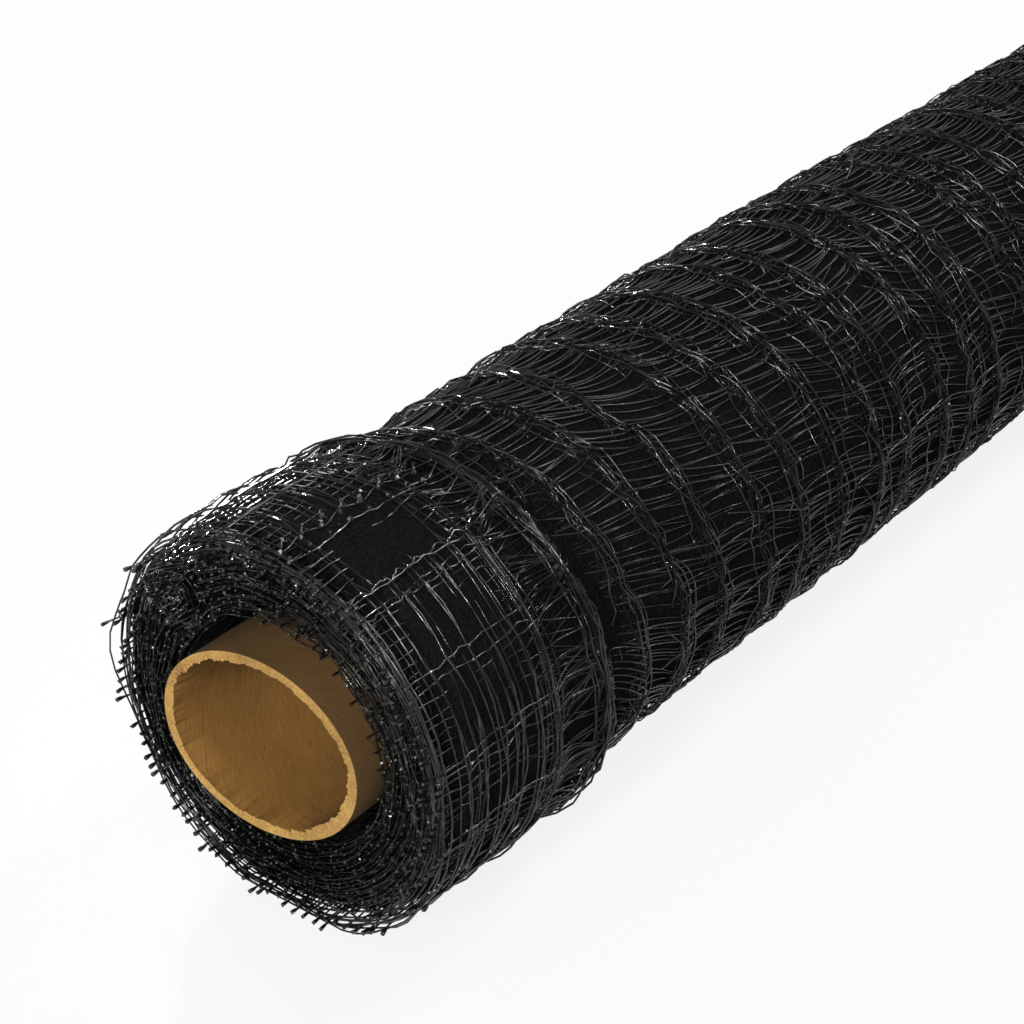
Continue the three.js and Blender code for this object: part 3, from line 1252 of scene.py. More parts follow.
    def round_strands(
        self, bundle: StrandBundle, first: float, last: float, rows: Array, sides: int
    ) -> None:
        """Adds strands that run round the roll over a range of turns.

        Args:
            bundle: Where the strands go.
            first: First turn.
            last: Last turn.
            rows: Rows of place, wander and level.
            sides: Sides of a tube.
        """
        form = self.form
        steps = int((last - first) * self.steps_per_turn) + 1
        turn = np.linspace(first, last, steps)[None, :]
        angle = form.free_angle + FULL_TURN * turn
        place, wander, level = rows[:, 0:1], rows[:, 1:2], rows[:, 2:3]
        knots = int((last - first) * 2 * FULL_TURN / form.mesh_angle) + 3
        where = (turn - first) * 2 * FULL_TURN / form.mesh_angle
        along = self._row_place(place, angle, turn) + kinks(self.rng, len(rows), knots, wander, where)
        radius = form.turn_radius(along, angle, turn)
        rough = self.row_lift + self.wander_lift * wander + self.level_lift * level
        radius = radius + kinks(self.rng, len(rows), knots, rough, where)
        phase = self.band_waves * angle + self.band_phase * place / form.ring_pitch
        radius = radius + level * np.abs(np.sin(phase))
        radius = radius + kinks(self.rng, len(rows), 3 * knots, self.fine_lift * level, 3 * where)
        along = along + kinks(self.rng, len(rows), 3 * knots, self.fine_wander * level, 3 * where)
        radius = radius + self._bowed(place, turn)
        bundle.lay(along, angle, radius - self._sunk(place, turn), self.strand, sides)

    def _row_place(self, place: Array, angle: Array, turn: Array) -> Array:
        """Where a row runs: it follows the cut edge at the ends, and slips turn by turn.

        Args:
            place: Place of each row from the near edge.
            angle: Angle around the roll.
            turn: Turns in from the free edge.

        Returns:
            The place along the roll.
        """
        form = self.form
        from_end = form.from_end(place)
        away = np.where(place < form.net_width / 2, 1.0, -1.0)
        edge = form.cut_edge(angle, turn) * np.clip(1.0 - from_end / form.open_length, 0.0, 1.0)
        least, more = self.drift_spread
        inside = smooth(from_end, 0.0, self.drift_reach * form.open_length)
        drift = self._drift(turn) * (least + more * inside)
        settled = smooth(from_end, 0.0, self.row_pitch) * (from_end < form.open_length)
        return place + away * edge + (drift + settled * self._row_shift(turn) * away)

    def _bowed(self, place: Array, turn: Array) -> Array:
        """How far a strand bows out or in between two welds, most of all at the loose ends.

        Args:
            place: Place of each row from the near edge.
            turn: Turns in from the free edge.

        Returns:
            The bow.
        """
        cell = turn * FULL_TURN / self.form.mesh_angle
        share = cell - np.floor(cell)
        outside = 1.0 - self.form.inside(place, *self.bow_span)
        loose = self.bow_inside + (1.0 - self.bow_inside) * outside
        return loose * self.bows[cell.astype(int)] * 4 * share * (1 - share)

    def _sunk(self, place: Array, turn: Array) -> Array:
        """How deep a strand of the near end sinks in the dark strip above the free edge, under the near-black
        depths, whose painted shade then shows there.

        Args:
            place: Place of each row from the near edge.
            turn: Turns in from the free edge.

        Returns:
            The depth.
        """
        phase = turn - np.floor(turn)
        shaded = smooth(phase, *self.dark_from) - smooth(phase, *self.dark_to)
        near = place < self.form.open_length
        return self.dark_depth * shaded * near * np.where(turn < 1, 1.0, self.dark_under)

    def gathered_strands(self, bundle: StrandBundle, turn: float, rows: Array, sides: int) -> None:
        """Adds one turn of kinked strands round the body, which dip under the strands along the roll.

        Args:
            bundle: Where the strands go.
            turn: The turn, counted from the free edge.
            rows: Rows of place, wander and the way in which they spread on the front.
            sides: Sides of a tube.
        """
        form = self.form
        turns = turn + shares(self.ring_steps)
        angle = form.free_angle + FULL_TURN * turns
        knots = int(FULL_TURN / form.mesh_angle) + 2
        where = (turns - turn) * (knots - 2)
        place, wander, way = rows[:, 0:1], rows[:, 1:2], rows[:, 2:3]
        front = facing(angle, self.spread_angle, self.spread_width)
        spread = self.spread_least + (1.0 - self.spread_least) * smooth(place, *self.spread_from)
        spread = spread * front * self.ring_spread
        along = place + self._drift(turns) * self.ring_drift + way * spread
        along = along + kinks(self.rng, len(rows), knots, wander, where)
        along = along + kinks(self.rng, len(rows), 4 * knots, self.ring_kink, 4 * where)
        sunk = kinks(self.rng, len(rows), 2 * knots, 1.0, 2 * where)
        radius = form.turn_radius(along, angle, turns) + self.ring_level - self.sink * np.maximum(0.0, sunk)
        radius = radius + kinks(self.rng, len(rows), 4 * knots, self.ring_lift, 4 * where)
        paths = bundle.lay(along, angle, radius, self.ring_share * self.strand, sides)
        picks = self.rng.integers(0, self.ring_steps, (len(rows), self.ring_welds, 1))
        bundle.add_knots(pick(paths, picks), self.weld)

    def gathers(self, bundle: StrandBundle) -> None:
        """Adds the inner strands that crowd together at each ring; build gives them a darker, duller finish
        as painted shade.

        Args:
            bundle: Where the strands go.
        """
        form = self.form
        rings = self.body_rows[: len(self.body), 0]
        place = np.array([at + off for at in rings for off in self.gather_offsets])[:, None]
        turns = shares(2 * self.gather_knots + 1)
        angle = form.free_angle + FULL_TURN * turns
        knots, where = self.gather_knots + 2, self.gather_knots * turns
        along = place + kinks(self.rng, len(place), knots, self.gather_wander, where)
        radius = form.turn_radius(along, angle, turns) - self.gather_sink
        radius = radius + kinks(self.rng, len(place), knots, self.gather_lift, where)
        bundle.lay(along, angle, radius, self.gather, 3)

    def along_strands(self, bundle: StrandBundle, first: int, last: int, sides: int) -> None:
        """Adds strands that run along the roll, from cut end to cut end.

        Args:
            bundle: Where the strands go.
            first: First strand, counted from the free edge.
            last: One past the last strand.
            sides: Sides of a tube.
        """
        form = self.form
        turn = np.arange(first, last)[:, None] * form.mesh_angle / FULL_TURN
        angle = form.free_angle + FULL_TURN * turn
        start, stop = self._cut_ends(angle, turn)
        along = start + (stop - start) * self._stations()[None, :]
        spread, slip = self._slips(angle)
        where = np.interp(along, self.places, np.arange(len(self.places)))
        index = np.clip(where.astype(int), 0, len(self.places) - 1)
        share = where - np.floor(where)
        bow = 4 * share * (1 - share)
        sway = self.rng.normal(0.0, 1.0, slip.shape) * self.rung_sway * spread
        sag = self.rng.normal(0.0, self.rung_sag, slip.shape)
        shift = form.twist(along) + between(slip, where) + bow * pick(sway, index)
        open_share = 1.0 - form.inside(along, *self.loose_span)
        shift = shift + (1.0 - open_share) * self._slant(angle, index) * form.ring_pitch * self._saw(share)
        past_tip = np.minimum(along - start, stop - along)
        zigzag = open_share * smooth(past_tip, *self.zigzag_from)
        shift = shift + zigzag * self.rng.normal(0.0, self.zigzag, along.shape)
        angle = angle + shift / form.arc_radius
        radius = form.turn_radius(along, angle, turn) + bow * pick(sag, index)
        radius = radius - (1.0 - open_share) * bow * pick(self._hollows(angle[:, :1]), index)
        radius = radius + self.flare * (1.0 - smooth(past_tip, 0.0, self.flare_length)) * np.exp(-turn)
        tips = np.exp(-((past_tip / self.tip_length) ** 4))
        paths = bundle.lay(along, angle, radius, self.strand * (1.0 + self.tip_swell * tips), sides)
        self._weld_rows(bundle, along, angle, turn, paths)

    def _cut_ends(self, angle: Array, turn: Array) -> tuple[Array, Array]:
        """Where each strand along the roll is cut off, a little past its last row.

        Args:
            angle: Angle of each strand.
            turn: Its turns in from the free edge.

        Returns:
            The places of the near and the far cut.
        """
        near = self.rng.uniform(*self.stub_near, turn.shape)
        far = self.rng.uniform(*self.stub_far, turn.shape)
        edge = self.form.cut_edge(angle, turn)
        return edge - near + self.first_row, self.form.net_width - edge + far - self.first_row

    def _stations(self) -> Array:
        """Shares of a strand's length at which it is modelled, closer together at its cut ends."""
        tip = np.array(self.tip_stations) / self.form.net_width
        middle = np.linspace(tip[-1], 1.0 - tip[-1], self.samples)[1:-1]
        return np.concatenate([tip, middle, 1.0 - tip[::-1]])

    def _slips(self, angle: Array) -> tuple[Array, Array]:
        """How far each strand has slid round the roll at each ring; at the waist they clump together.

        Args:
            angle: Angle of each strand.

        Returns:
            The spread of single strands at each ring, and an array of strands and rings.
        """
        form = self.form
        inside = form.inside(self.places, *self.loose_span)
        spread = self.slip_alone[0] + self.slip_alone[1] * inside
        shared = self.slip_shared[0] + self.slip_shared[1] * inside
        alone = self.rng.normal(0.0, 1.0, (len(angle), len(self.places))) * spread
        slip = alone + self._common_slip(angle, shared)
        waist = int(np.argmin(np.abs(self.places - form.waist_at)))
        pulled = self.waist_pull * (form.clump(angle) - angle)[:, 0] * form.arc_radius
        slip[:, waist] = pulled + self.rng.normal(0.0, self.waist_scatter, len(angle))
        return spread, slip

    def _common_slip(self, angle: Array, shared: Array) -> Array:
        """How far neighbouring strands of all turns have slid together at each ring.

        Args:
            angle: Angle of each strand.
            shared: Spread of the slide at each ring.

        Returns:
            An array of strands and rings.
        """
        rng = np.random.default_rng(self.seed + 2)
        field = np.zeros((len(angle), len(shared)))
        for waves in self.slip_waves:
            field += np.sin(waves * angle + rng.uniform(0.0, FULL_TURN, len(shared))) / math.sqrt(waves)
        return self.slip_gain * shared * field

    def _slant(self, angle: Array, index: Array) -> Array:
        """How steeply each strand crosses the gap behind each ring, most of all on top.

        Args:
            angle: Angle of each strand.
            index: Ring behind each of its points.

        Returns:
            The slope.
        """
        slant = self.slant_least + self.slant_top * facing(angle, self.slant_angle, self.slant_width)
        share = self.rng.uniform(0.0, self.slant_most, (len(angle), len(self.places)))
        return slant * pick(share, index)

    @staticmethod
    def _saw(share: Array) -> Array:
        """One slanting stroke from ring to ring, which comes back to the middle at either ring."""
        return np.interp(share, [0.0, 0.1, 0.9, 1.0], [0.0, -0.4, 0.4, 0.0])

    def _hollows(self, angle: Array) -> Array:
        """How deep whole groups of strands have sunk behind each ring.

        Args:
            angle: Angle of each strand.

        Returns:
            An array of strands and rings.
        """
        rng = np.random.default_rng(self.seed + 8)
        where = (angle.T % FULL_TURN) * self.hollow_knots / FULL_TURN
        depth = kinks(rng, len(self.places), self.hollow_knots + 2, 1.0, where)
        return self.hollow * np.maximum(0.0, depth).T

    def _weld_rows(
        self, bundle: StrandBundle, along: Array, angle: Array, turn: Array, paths: Array
    ) -> None:
        """Adds welds where the outermost strands along the roll cross the rows of the loose ends.

        Args:
            bundle: Where the welds go.
            along: Place of each strand's points from the near edge.
            angle: Their angle around the roll.
            turn: Turns of each strand in from the free edge.
            paths: The strands' points in the frame.
        """
        form = self.form
        outermost = np.flatnonzero(turn[:, 0] < self.knotted_turns)
        for row in (*self.near_rows, *(form.net_width - self.near_rows)):
            edge = form.cut_edge(angle[:, :1], turn)[outermost, 0] * max(0.0, 1.0 - row / form.open_length)
            edge = edge + self._row_shift(turn[outermost, 0]) * (row > self.row_pitch / 2)
            step = np.argmin(np.abs(along[outermost] - (row + edge)[:, None]), axis=1)
            bundle.add_knots(np.repeat(paths[outermost, step], 2, axis=0), self.weld)

    def build(
        self, material: bpy.types.Material, dusty: bpy.types.Material, dark: bpy.types.Material
    ) -> list[bpy.types.Object]:
        """Builds the seen turns as several pieces.

        Args:
            material: The finish of the strands round the roll.
            dusty: The finish of the strands along it.
            dark: The finish of the gathers, a darker and duller copy in painted shade.

        Returns:
            The pieces, the outermost turn's first.
        """
        outer, middle, deep, gathers = (StrandBundle(self.form) for _ in range(4))
        waist = self.end_rows[:, 2] > 0
        self.round_strands(outer, 0.0, self.fine_turns, self.end_rows[~waist], 4)
        self.round_strands(outer, 0.0, 1.0, self.end_rows[waist], 4)
        self.round_strands(gathers, 1.0, self.fine_turns, self.end_rows[waist], 4)
        for turn, count in enumerate(self.body_rings):
            self.gathered_strands(outer, turn, self.body_rows[: count * len(self.body)], 4 if turn < 2 else 3)
        FreeEdge(self.form, self.strand, self.first_row, self.row_pitch).add(outer, self.rng)
        Ridge(self.form, self.strand, self.near_rows, self.row_pitch).add(outer)
        WaistFan(self.form).add(outer)
        columns = FULL_TURN / self.form.mesh_angle
        fine, seen = int(self.fine_turns * columns), int(self.rung_turns * columns)
        self.along_strands(middle, 0, fine, 4)
        self.along_strands(middle, fine, (fine + seen) // 2, 3)
        self.along_strands(deep, (fine + seen) // 2, seen, 3)
        self.round_strands(deep, self.fine_turns, self.seen_turns, self.end_rows[::2], 3)
        self.gathers(gathers)
        return [
            outer.piece("netting_strands_round", material),
            middle.piece("netting_strands_along", dusty),
            deep.piece("netting_strands_deep", dusty),
            gathers.piece("netting_gathers", dark),
        ]


@dataclass
class EndTurns:
    """The many inner turns that show only at a cut end of the roll."""

    form: RollForm
    end: End
    seed: int
    first_turn: float = 9.0
    rows: tuple[float, ...] = (0.9 * MM, 4.5 * MM, 8.5 * MM, 14.0 * MM)
    strand: float = 0.52 * MM
    wander: float = 1.3 * MM
    lift: float = 0.32 * MM
    steps_per_turn: int = 56
    knots_per_turn: int = 24
    mesh_pitch: float = 9 * MM
    outer_radius: float = 57 * MM
    welds: int = 1900
    weld: float = 0.46 * MM
    stub_reach: float = 16 * MM
    stub_tip: Pair = (0.2 * MM, 1.9 * MM)
    stub_swell: float = 0.8
    stub_fade: float = 8.0
    stub_bend: float = 1.4
    stub_scatter: float = 0.03
    stub_lean: float = 0.02
    stub_lift: float = 0.25 * MM

    def _along(self, behind: Array) -> Array:
        """Turns a distance behind this end's foremost edge into a place along the roll."""
        return behind if self.end is End.NEAR else self.form.net_width - behind

    def build(self, material: bpy.types.Material) -> bpy.types.Object:
        """Builds the turns of this end as one piece.

        Args:
            material: The strands' finish.

        Returns:
            The piece.
        """
        form = self.form
        rng = np.random.default_rng(self.seed)
        bundle = StrandBundle(form)
        steps = int((form.turns - self.first_turn) * self.steps_per_turn) + 1
        turn = np.linspace(self.first_turn, form.turns, steps)[None, :]
        angle = form.free_angle + FULL_TURN * turn
        knots = int((form.turns - self.first_turn) * self.knots_per_turn) + 3
        where = (turn - self.first_turn) * self.knots_per_turn
        rows = np.array(self.rows)[:, None]
        behind = form.cut_edge(angle, turn) + rows + kinks(rng, len(rows), knots, self.wander, where)
        along = self._along(behind)
        radius = form.turn_radius(along, angle, turn) + kinks(rng, len(rows), knots, self.lift, where)
        paths = bundle.lay(along, angle, radius, self.strand, 3)
        welds = rng.integers(0, steps, self.welds)
        bundle.add_knots(paths[rng.integers(0, 2, self.welds), welds], self.weld)
        self._stubs(bundle, rng)
        return bundle.piece(f"netting_turns_{self.end.value}", material)

    def _stubs(self, bundle: StrandBundle, rng: np.random.Generator) -> None:
        """Adds the cut ends of the strands that run along the roll, one mesh apart along each turn.

        Args:
            bundle: Where the strands go.
            rng: Seeded source.
        """
        form = self.form
        fine = np.linspace(self.first_turn, form.turns, 4000)
        radius = np.interp(fine, [0, form.turns], [self.outer_radius, form.mouth_radius])
        length = np.cumsum(FULL_TURN * radius * np.gradient(fine))
        turn = np.interp(np.arange(0.0, length[-1], self.mesh_pitch), length, fine)[:, None]
        angle = form.free_angle + FULL_TURN * turn + rng.normal(0.0, self.stub_scatter, turn.shape)
        tip = form.cut_edge(angle, turn) - rng.uniform(*self.stub_tip, turn.shape)
        share = shares(8) ** self.stub_bend
        along = self._along(tip + self.stub_reach * share)
        angle = angle + rng.normal(0.0, self.stub_lean, turn.shape) * share
        radius = form.turn_radius(along, angle, turn) + rng.normal(0.0, self.stub_lift, turn.shape)
        swell = self.stub_swell * np.exp(-self.stub_fade * share)
        bundle.lay(along, angle, radius, self.strand * (1.0 + swell), 3)


@dataclass
class CurledTurn:
    """The turn that has rolled up on itself inside the near end."""

    form: RollForm
    seed: int = 31
    windings: float = 7.0
    first_winding: float = 0.3
    steps_per_winding: int = 34
    knots_per_winding: int = 12
    strand: float = 0.55 * MM
    rows: tuple[float, ...] = (-1.5 * MM, 3.0 * MM, 8.0 * MM, 14.0 * MM)
    row_lift: float = 0.3 * MM
    row_wander: float = 0.8 * MM
    edge_turn: float = 0.3
    stubs: int = 70
    first_stub: float = 0.6
    stub_reach: float = 16 * MM
    stub_tip: float = 2.5 * MM
    stub_tip_spread: float = 1.5 * MM
    stub_share: float = 1.1

    def build(self, material: bpy.types.Material) -> bpy.types.Object:
        """Builds the curl as one piece of wound strands with cut ends.

        Args:
            material: The strands' finish.

        Returns:
            The piece.
        """
        rng = np.random.default_rng(self.seed)
        bundle = StrandBundle(self.form)
        pitch = self.form.curl.reach / self.windings
        steps = int(self.windings * self.steps_per_winding)
        winding = np.linspace(self.first_winding, self.windings, steps)[None, :]
        runs, knots = len(self.rows), int(self.windings * self.knots_per_winding) + 3
        where = winding * self.knots_per_winding
        reach = pitch * winding + kinks(rng, runs, knots, self.row_lift, where)
        depth = np.array(self.rows)[:, None] + kinks(rng, runs, knots, self.row_wander, where)
        bundle.add(self._place(winding * FULL_TURN, reach, depth), self.strand, 3)
        winding = np.sort(rng.uniform(self.first_stub, self.windings, self.stubs))[:, None]
        share = shares(5)
        tip = rng.uniform(0.0, self.stub_tip_spread, winding.shape)
        depth = -self.stub_tip - tip + self.stub_reach * share
        bundle.add(self._place(winding * FULL_TURN, pitch * winding, depth), self.strand * self.stub_share, 3)
        return bundle.piece("netting_curled_turn", material)

    def _place(self, angle: Array, reach: Array, depth: Array) -> Array:
        """Points of the curl from an angle and distance about its own middle.

        Args:
            angle: Angle about the curl's middle.
            reach: Distance from the middle.
            depth: Distance behind the cut edge there.

        Returns:
            The points in the frame.
        """
        form = self.form
        edge = float(form.cut_edge(np.array(form.curl.angle), np.array(self.edge_turn * form.turns)))
        across, up = form.curl.middle()
        y = form.axis_y + across + reach * np.cos(angle)
        z = form.axis_z + up + reach * np.sin(angle)
        return np.stack(np.broadcast_arrays(form.near_x + edge + depth, y, z), axis=-1)


@dataclass(frozen=True)
class Loop:
    """One strand that stands clear of the roll in a loose loop; its angles are in degrees."""

    along: float
    angle: float
    run: float
    sweep: float
    height: float


@dataclass(frozen=True)
class Span:
    """One strand drawn taut over the hollows from one ring to another; its angles are in degrees."""

    along: Pair
    angle: Pair
    clear: Pair


@dataclass
class StrayStrands:
    """Frayed bristles behind the waist band, and strands that stand off in loops or drawn taut."""

    form: RollForm
    seed: int = 47
    strand: float = 0.42 * MM
    bristles: int = 420
    bristle: float = 0.36 * MM
    bristle_length: Pair = (3.5 * MM, 8.5 * MM)
    bristle_lift: float = 1.6 * MM
    bristle_from: Pair = (1.0 * MM, 3.5 * MM)
    bristle_splay: float = 2.2 * MM
    bristle_rise: float = 0.5 * MM
    bristle_arch: float = 0.75 * math.pi
    bristle_taper: Pair = (1.1, 0.6)
    comb_strokes: int = 7
    comb_at: float = 78 * MM
    comb_slip: float = 1 * MM
    comb_run: float = 11.5 * MM
    comb_angle: float = 173 * DEG
    comb_spread: float = 14 * DEG
    comb_sweep: Pair = (5 * DEG, 3 * DEG)
    comb_bend: float = 1.6
    comb_rise: float = 0.6 * MM
    loops: tuple[Loop, ...] = (
        Loop(47 * MM, 76, 14 * MM, 3, 1.8 * MM),
        Loop(51 * MM, 79, 13 * MM, -2, 1.3 * MM),
        Loop(47 * MM, 198, 15 * MM, 12, 3.2 * MM),
        Loop(120 * MM, 70, 17 * MM, 6, 1.8 * MM),
        Loop(165 * MM, 96, 19 * MM, -8, 1.6 * MM),
        Loop(232 * MM, 64, 18 * MM, 7, 1.8 * MM),
        Loop(310 * MM, 82, 20 * MM, -6, 1.5 * MM),
    )
    spans: tuple[Span, ...] = (
        Span((70 * MM, 89 * MM), (203, 211), (0.9 * MM, 1.2 * MM)),
        Span((71 * MM, 91 * MM), (205, 214), (0.2 * MM, 0.6 * MM)),
        Span((70 * MM, 87 * MM), (199, 206), (0.6 * MM, 0.9 * MM)),
        Span((98 * MM, 168 * MM), (191, 180.5), (1.9 * MM, 2.0 * MM)),
        Span((166 * MM, 222 * MM), (180.8, 184.8), (2.0 * MM, 1.7 * MM)),
        Span((140 * MM, 172 * MM), (157.5, 170.5), (1.9 * MM, 1.9 * MM)),
        Span((170 * MM, 238 * MM), (170, 177), (1.9 * MM, 1.7 * MM)),
        Span((119 * MM, 146 * MM), (187, 192), (0.8 * MM, 0.7 * MM)),
        Span((98 * MM, 140 * MM), (221, 217), (0.6 * MM, 0.6 * MM)),
        Span((112 * MM, 190 * MM), (216, 220), (0.5 * MM, 0.6 * MM)),
        Span((150 * MM, 260 * MM), (224, 221), (0.6 * MM, 0.6 * MM)),
        Span((230 * MM, 330 * MM), (219, 224), (0.6 * MM, 0.6 * MM)),
        Span((205 * MM, 262 * MM), (178, 170), (0.8 * MM, 0.8 * MM)),
        Span((300 * MM, 372 * MM), (196, 188), (0.8 * MM, 0.8 * MM)),
    )
    span_clear: float = 0.9 * MM
    span_taut: Pair = (0.5, 0.7)
    span_share: float = 1.2
    loop_rise: float = 0.4 * MM
    loop_fullness: float = 0.8

    def build(self, material: bpy.types.Material) -> bpy.types.Object:
        """Builds bristles, loops and taut strands as one piece.

        Args:
            material: The strands' finish.

        Returns:
            The piece.
        """
        bundle = StrandBundle(self.form)
        self._add_bristles(bundle, np.random.default_rng(self.seed))
        self._add_comb(bundle)
        self._add_loops(bundle)
        self._add_spans(bundle)
        return bundle.piece("netting_stray_strands", material)

    def _add_bristles(self, bundle: StrandBundle, rng: np.random.Generator) -> None:
        """Adds short frayed ends that point from the waist band into the groove.

        Args:
            bundle: Where the strands go.
            rng: Seeded source.
        """
        form = self.form
        shape = (self.bristles, 1)
        angle = rng.uniform(0.0, FULL_TURN, shape)
        length = rng.uniform(*self.bristle_length, shape)
        lifted = rng.uniform(0.0, self.bristle_lift, shape)
        share = shares(5)
        along = form.waist_at + rng.uniform(*self.bristle_from, shape) + length * share
        angle = angle + rng.normal(0.0, self.bristle_splay, shape) / form.arc_radius * share
        radius = form.surface(along, angle) + self.bristle_rise + lifted * np.sin(self.bristle_arch * share)
        root, taper = self.bristle_taper
        bundle.lay(along, angle, radius, self.bristle * (root - taper * share), 3)

    def _add_comb(self, bundle: StrandBundle) -> None:
        """Adds the even strokes that cross the groove low on the front.

        Args:
            bundle: Where the strands go.
        """
        share = shares(10)
        stroke = np.linspace(0.0, 1.0, self.comb_strokes)[:, None]
        along = self.comb_at - self.comb_slip * stroke + self.comb_run * share
        sweep = (self.comb_sweep[0] + self.comb_sweep[1] * stroke) * share**self.comb_bend
        angle = self.comb_angle + self.comb_spread * stroke + sweep
        bundle.lay(along, angle, self.form.surface(along, angle) + self.comb_rise, self.strand, 4)

    def _add_loops(self, bundle: StrandBundle) -> None:
        """Adds the loose loops.

        Args:
            bundle: Where the strands go.
        """
        share = shares(24)
        for loop in self.loops:
            along = loop.along + loop.run * share
            angle = np.radians(loop.angle + loop.sweep * share**2)
            rise = loop.height * np.sin(math.pi * share) ** self.loop_fullness
            radius = self.form.surface(along, angle) + self.loop_rise + rise
            bundle.lay(along, angle, radius, self.strand, 4)

    def _add_spans(self, bundle: StrandBundle) -> None:
        """Adds the taut strands, straight from end to end where the roll leaves room.

        Args:
            bundle: Where the strands go.
        """
        share = shares(40)
        for span in self.spans:
            along = span.along[0] + (span.along[1] - span.along[0]) * share
            angle = np.radians(span.angle[0] + (span.angle[1] - span.angle[0]) * share)
            ends = self.form.surface(along[:, [0, -1]], angle[:, [0, -1]], self.span_taut[0])
            ends = ends + np.array([span.clear])
            line = ends[:, :1] + (ends[:, 1:] - ends[:, :1]) * share
            radius = np.maximum(line, self.form.surface(along, angle, self.span_taut[1]) + self.span_clear)
            bundle.lay(along, angle, radius, self.span_share * self.strand, 4)


@dataclass
class Depths:
    """The dark turns under the strands that can be seen: the wound solid, drawn in all round."""

    form: RollForm
    draw_in: float = 3.0 * MM
    body_share: float = 0.72
    body_span: Pair = (0.7, 0.95)
    end_share: float = 0.33
    fan_at: float = 55 * MM
    fan_width: float = 8 * MM
    slack_from: Pair = (150 * DEG, 168 * DEG)
    slack_to: Pair = (250 * DEG, 270 * DEG)
    end_depth: float = 12 * MM
    weld_gap: float = 0.01 * MM

    def build(self, source: bpy.types.Object, material: bpy.types.Material) -> bpy.types.Object:
        """Copies the wound solid, cuts back its ends and shrinks it.

        Args:
            source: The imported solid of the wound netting.
            material: The finish of the depths.

        Returns:
            The piece.
        """
        bpy.ops.object.select_all(action="DESELECT")
        made = bpy.data.objects.new("netting_depths", source.data.copy())
        bpy.context.collection.objects.link(made)
        made.select_set(True)
        bpy.context.view_layer.objects.active = made
        bpy.ops.object.mode_set(mode="EDIT")
        bpy.ops.mesh.select_all(action="SELECT")
        bpy.ops.mesh.remove_doubles(threshold=self.weld_gap)
        for end in End:
            self._cut_back(end)
        bpy.ops.mesh.select_all(action="SELECT")
        bpy.ops.mesh.normals_make_consistent(inside=False)
        bpy.ops.object.mode_set(mode="OBJECT")
        weights = made.vertex_groups.new(name="draw_in")
        for vertex in made.data.vertices:
            weights.add([vertex.index], self._share(vertex.co), "REPLACE")
        shrink = made.modifiers.new("draw_in", "DISPLACE")
        shrink.strength = -self.draw_in
        shrink.mid_level = 0.0
        shrink.vertex_group = weights.name
        bpy.ops.object.modifier_apply(modifier=shrink.name)
        bpy.ops.object.shade_smooth()
        made.data.materials.clear()
        made.data.materials.append(material)
        return made

    def _share(self, place: Vector) -> float:
        """Share of the full depth at a point: shallow at the ends, except on the slack front.

        Args:
            place: The point.

        Returns:
            The share.
        """
        form = self.form
        along = np.array(place.x - form.near_x)
        angle = np.array(math.atan2(place.z - form.axis_z, place.y - form.axis_y) % FULL_TURN)
        slack = smooth(angle, *self.slack_from) - smooth(angle, *self.slack_to)
        end = self.end_share + (1.0 - self.end_share) * slack
        share = end + (self.body_share - end) * form.inside(along, *self.body_span)
        fan = bell(along, self.fan_at, self.fan_width)
        sunk = max(fan, *(form.patch(hollow, along, angle) for hollow in form.hollows))
        return float(share + (1.0 - share) * sunk)

    def _cut_back(self, end: End) -> None:
        """Cuts one end off square and closes it between the outside and the bore.

        Args:
            end: Which end.
        """
        near = end is End.NEAR
        x = self.form.near_x + (self.end_depth if near else self.form.net_width - self.end_depth)
        bpy.ops.mesh.select_all(action="SELECT")
        bpy.ops.mesh.bisect(
            plane_co=(x, 0.0, 0.0), plane_no=(1.0, 0.0, 0.0), clear_inner=near, clear_outer=not near
        )
        bpy.ops.mesh.bridge_edge_loops()


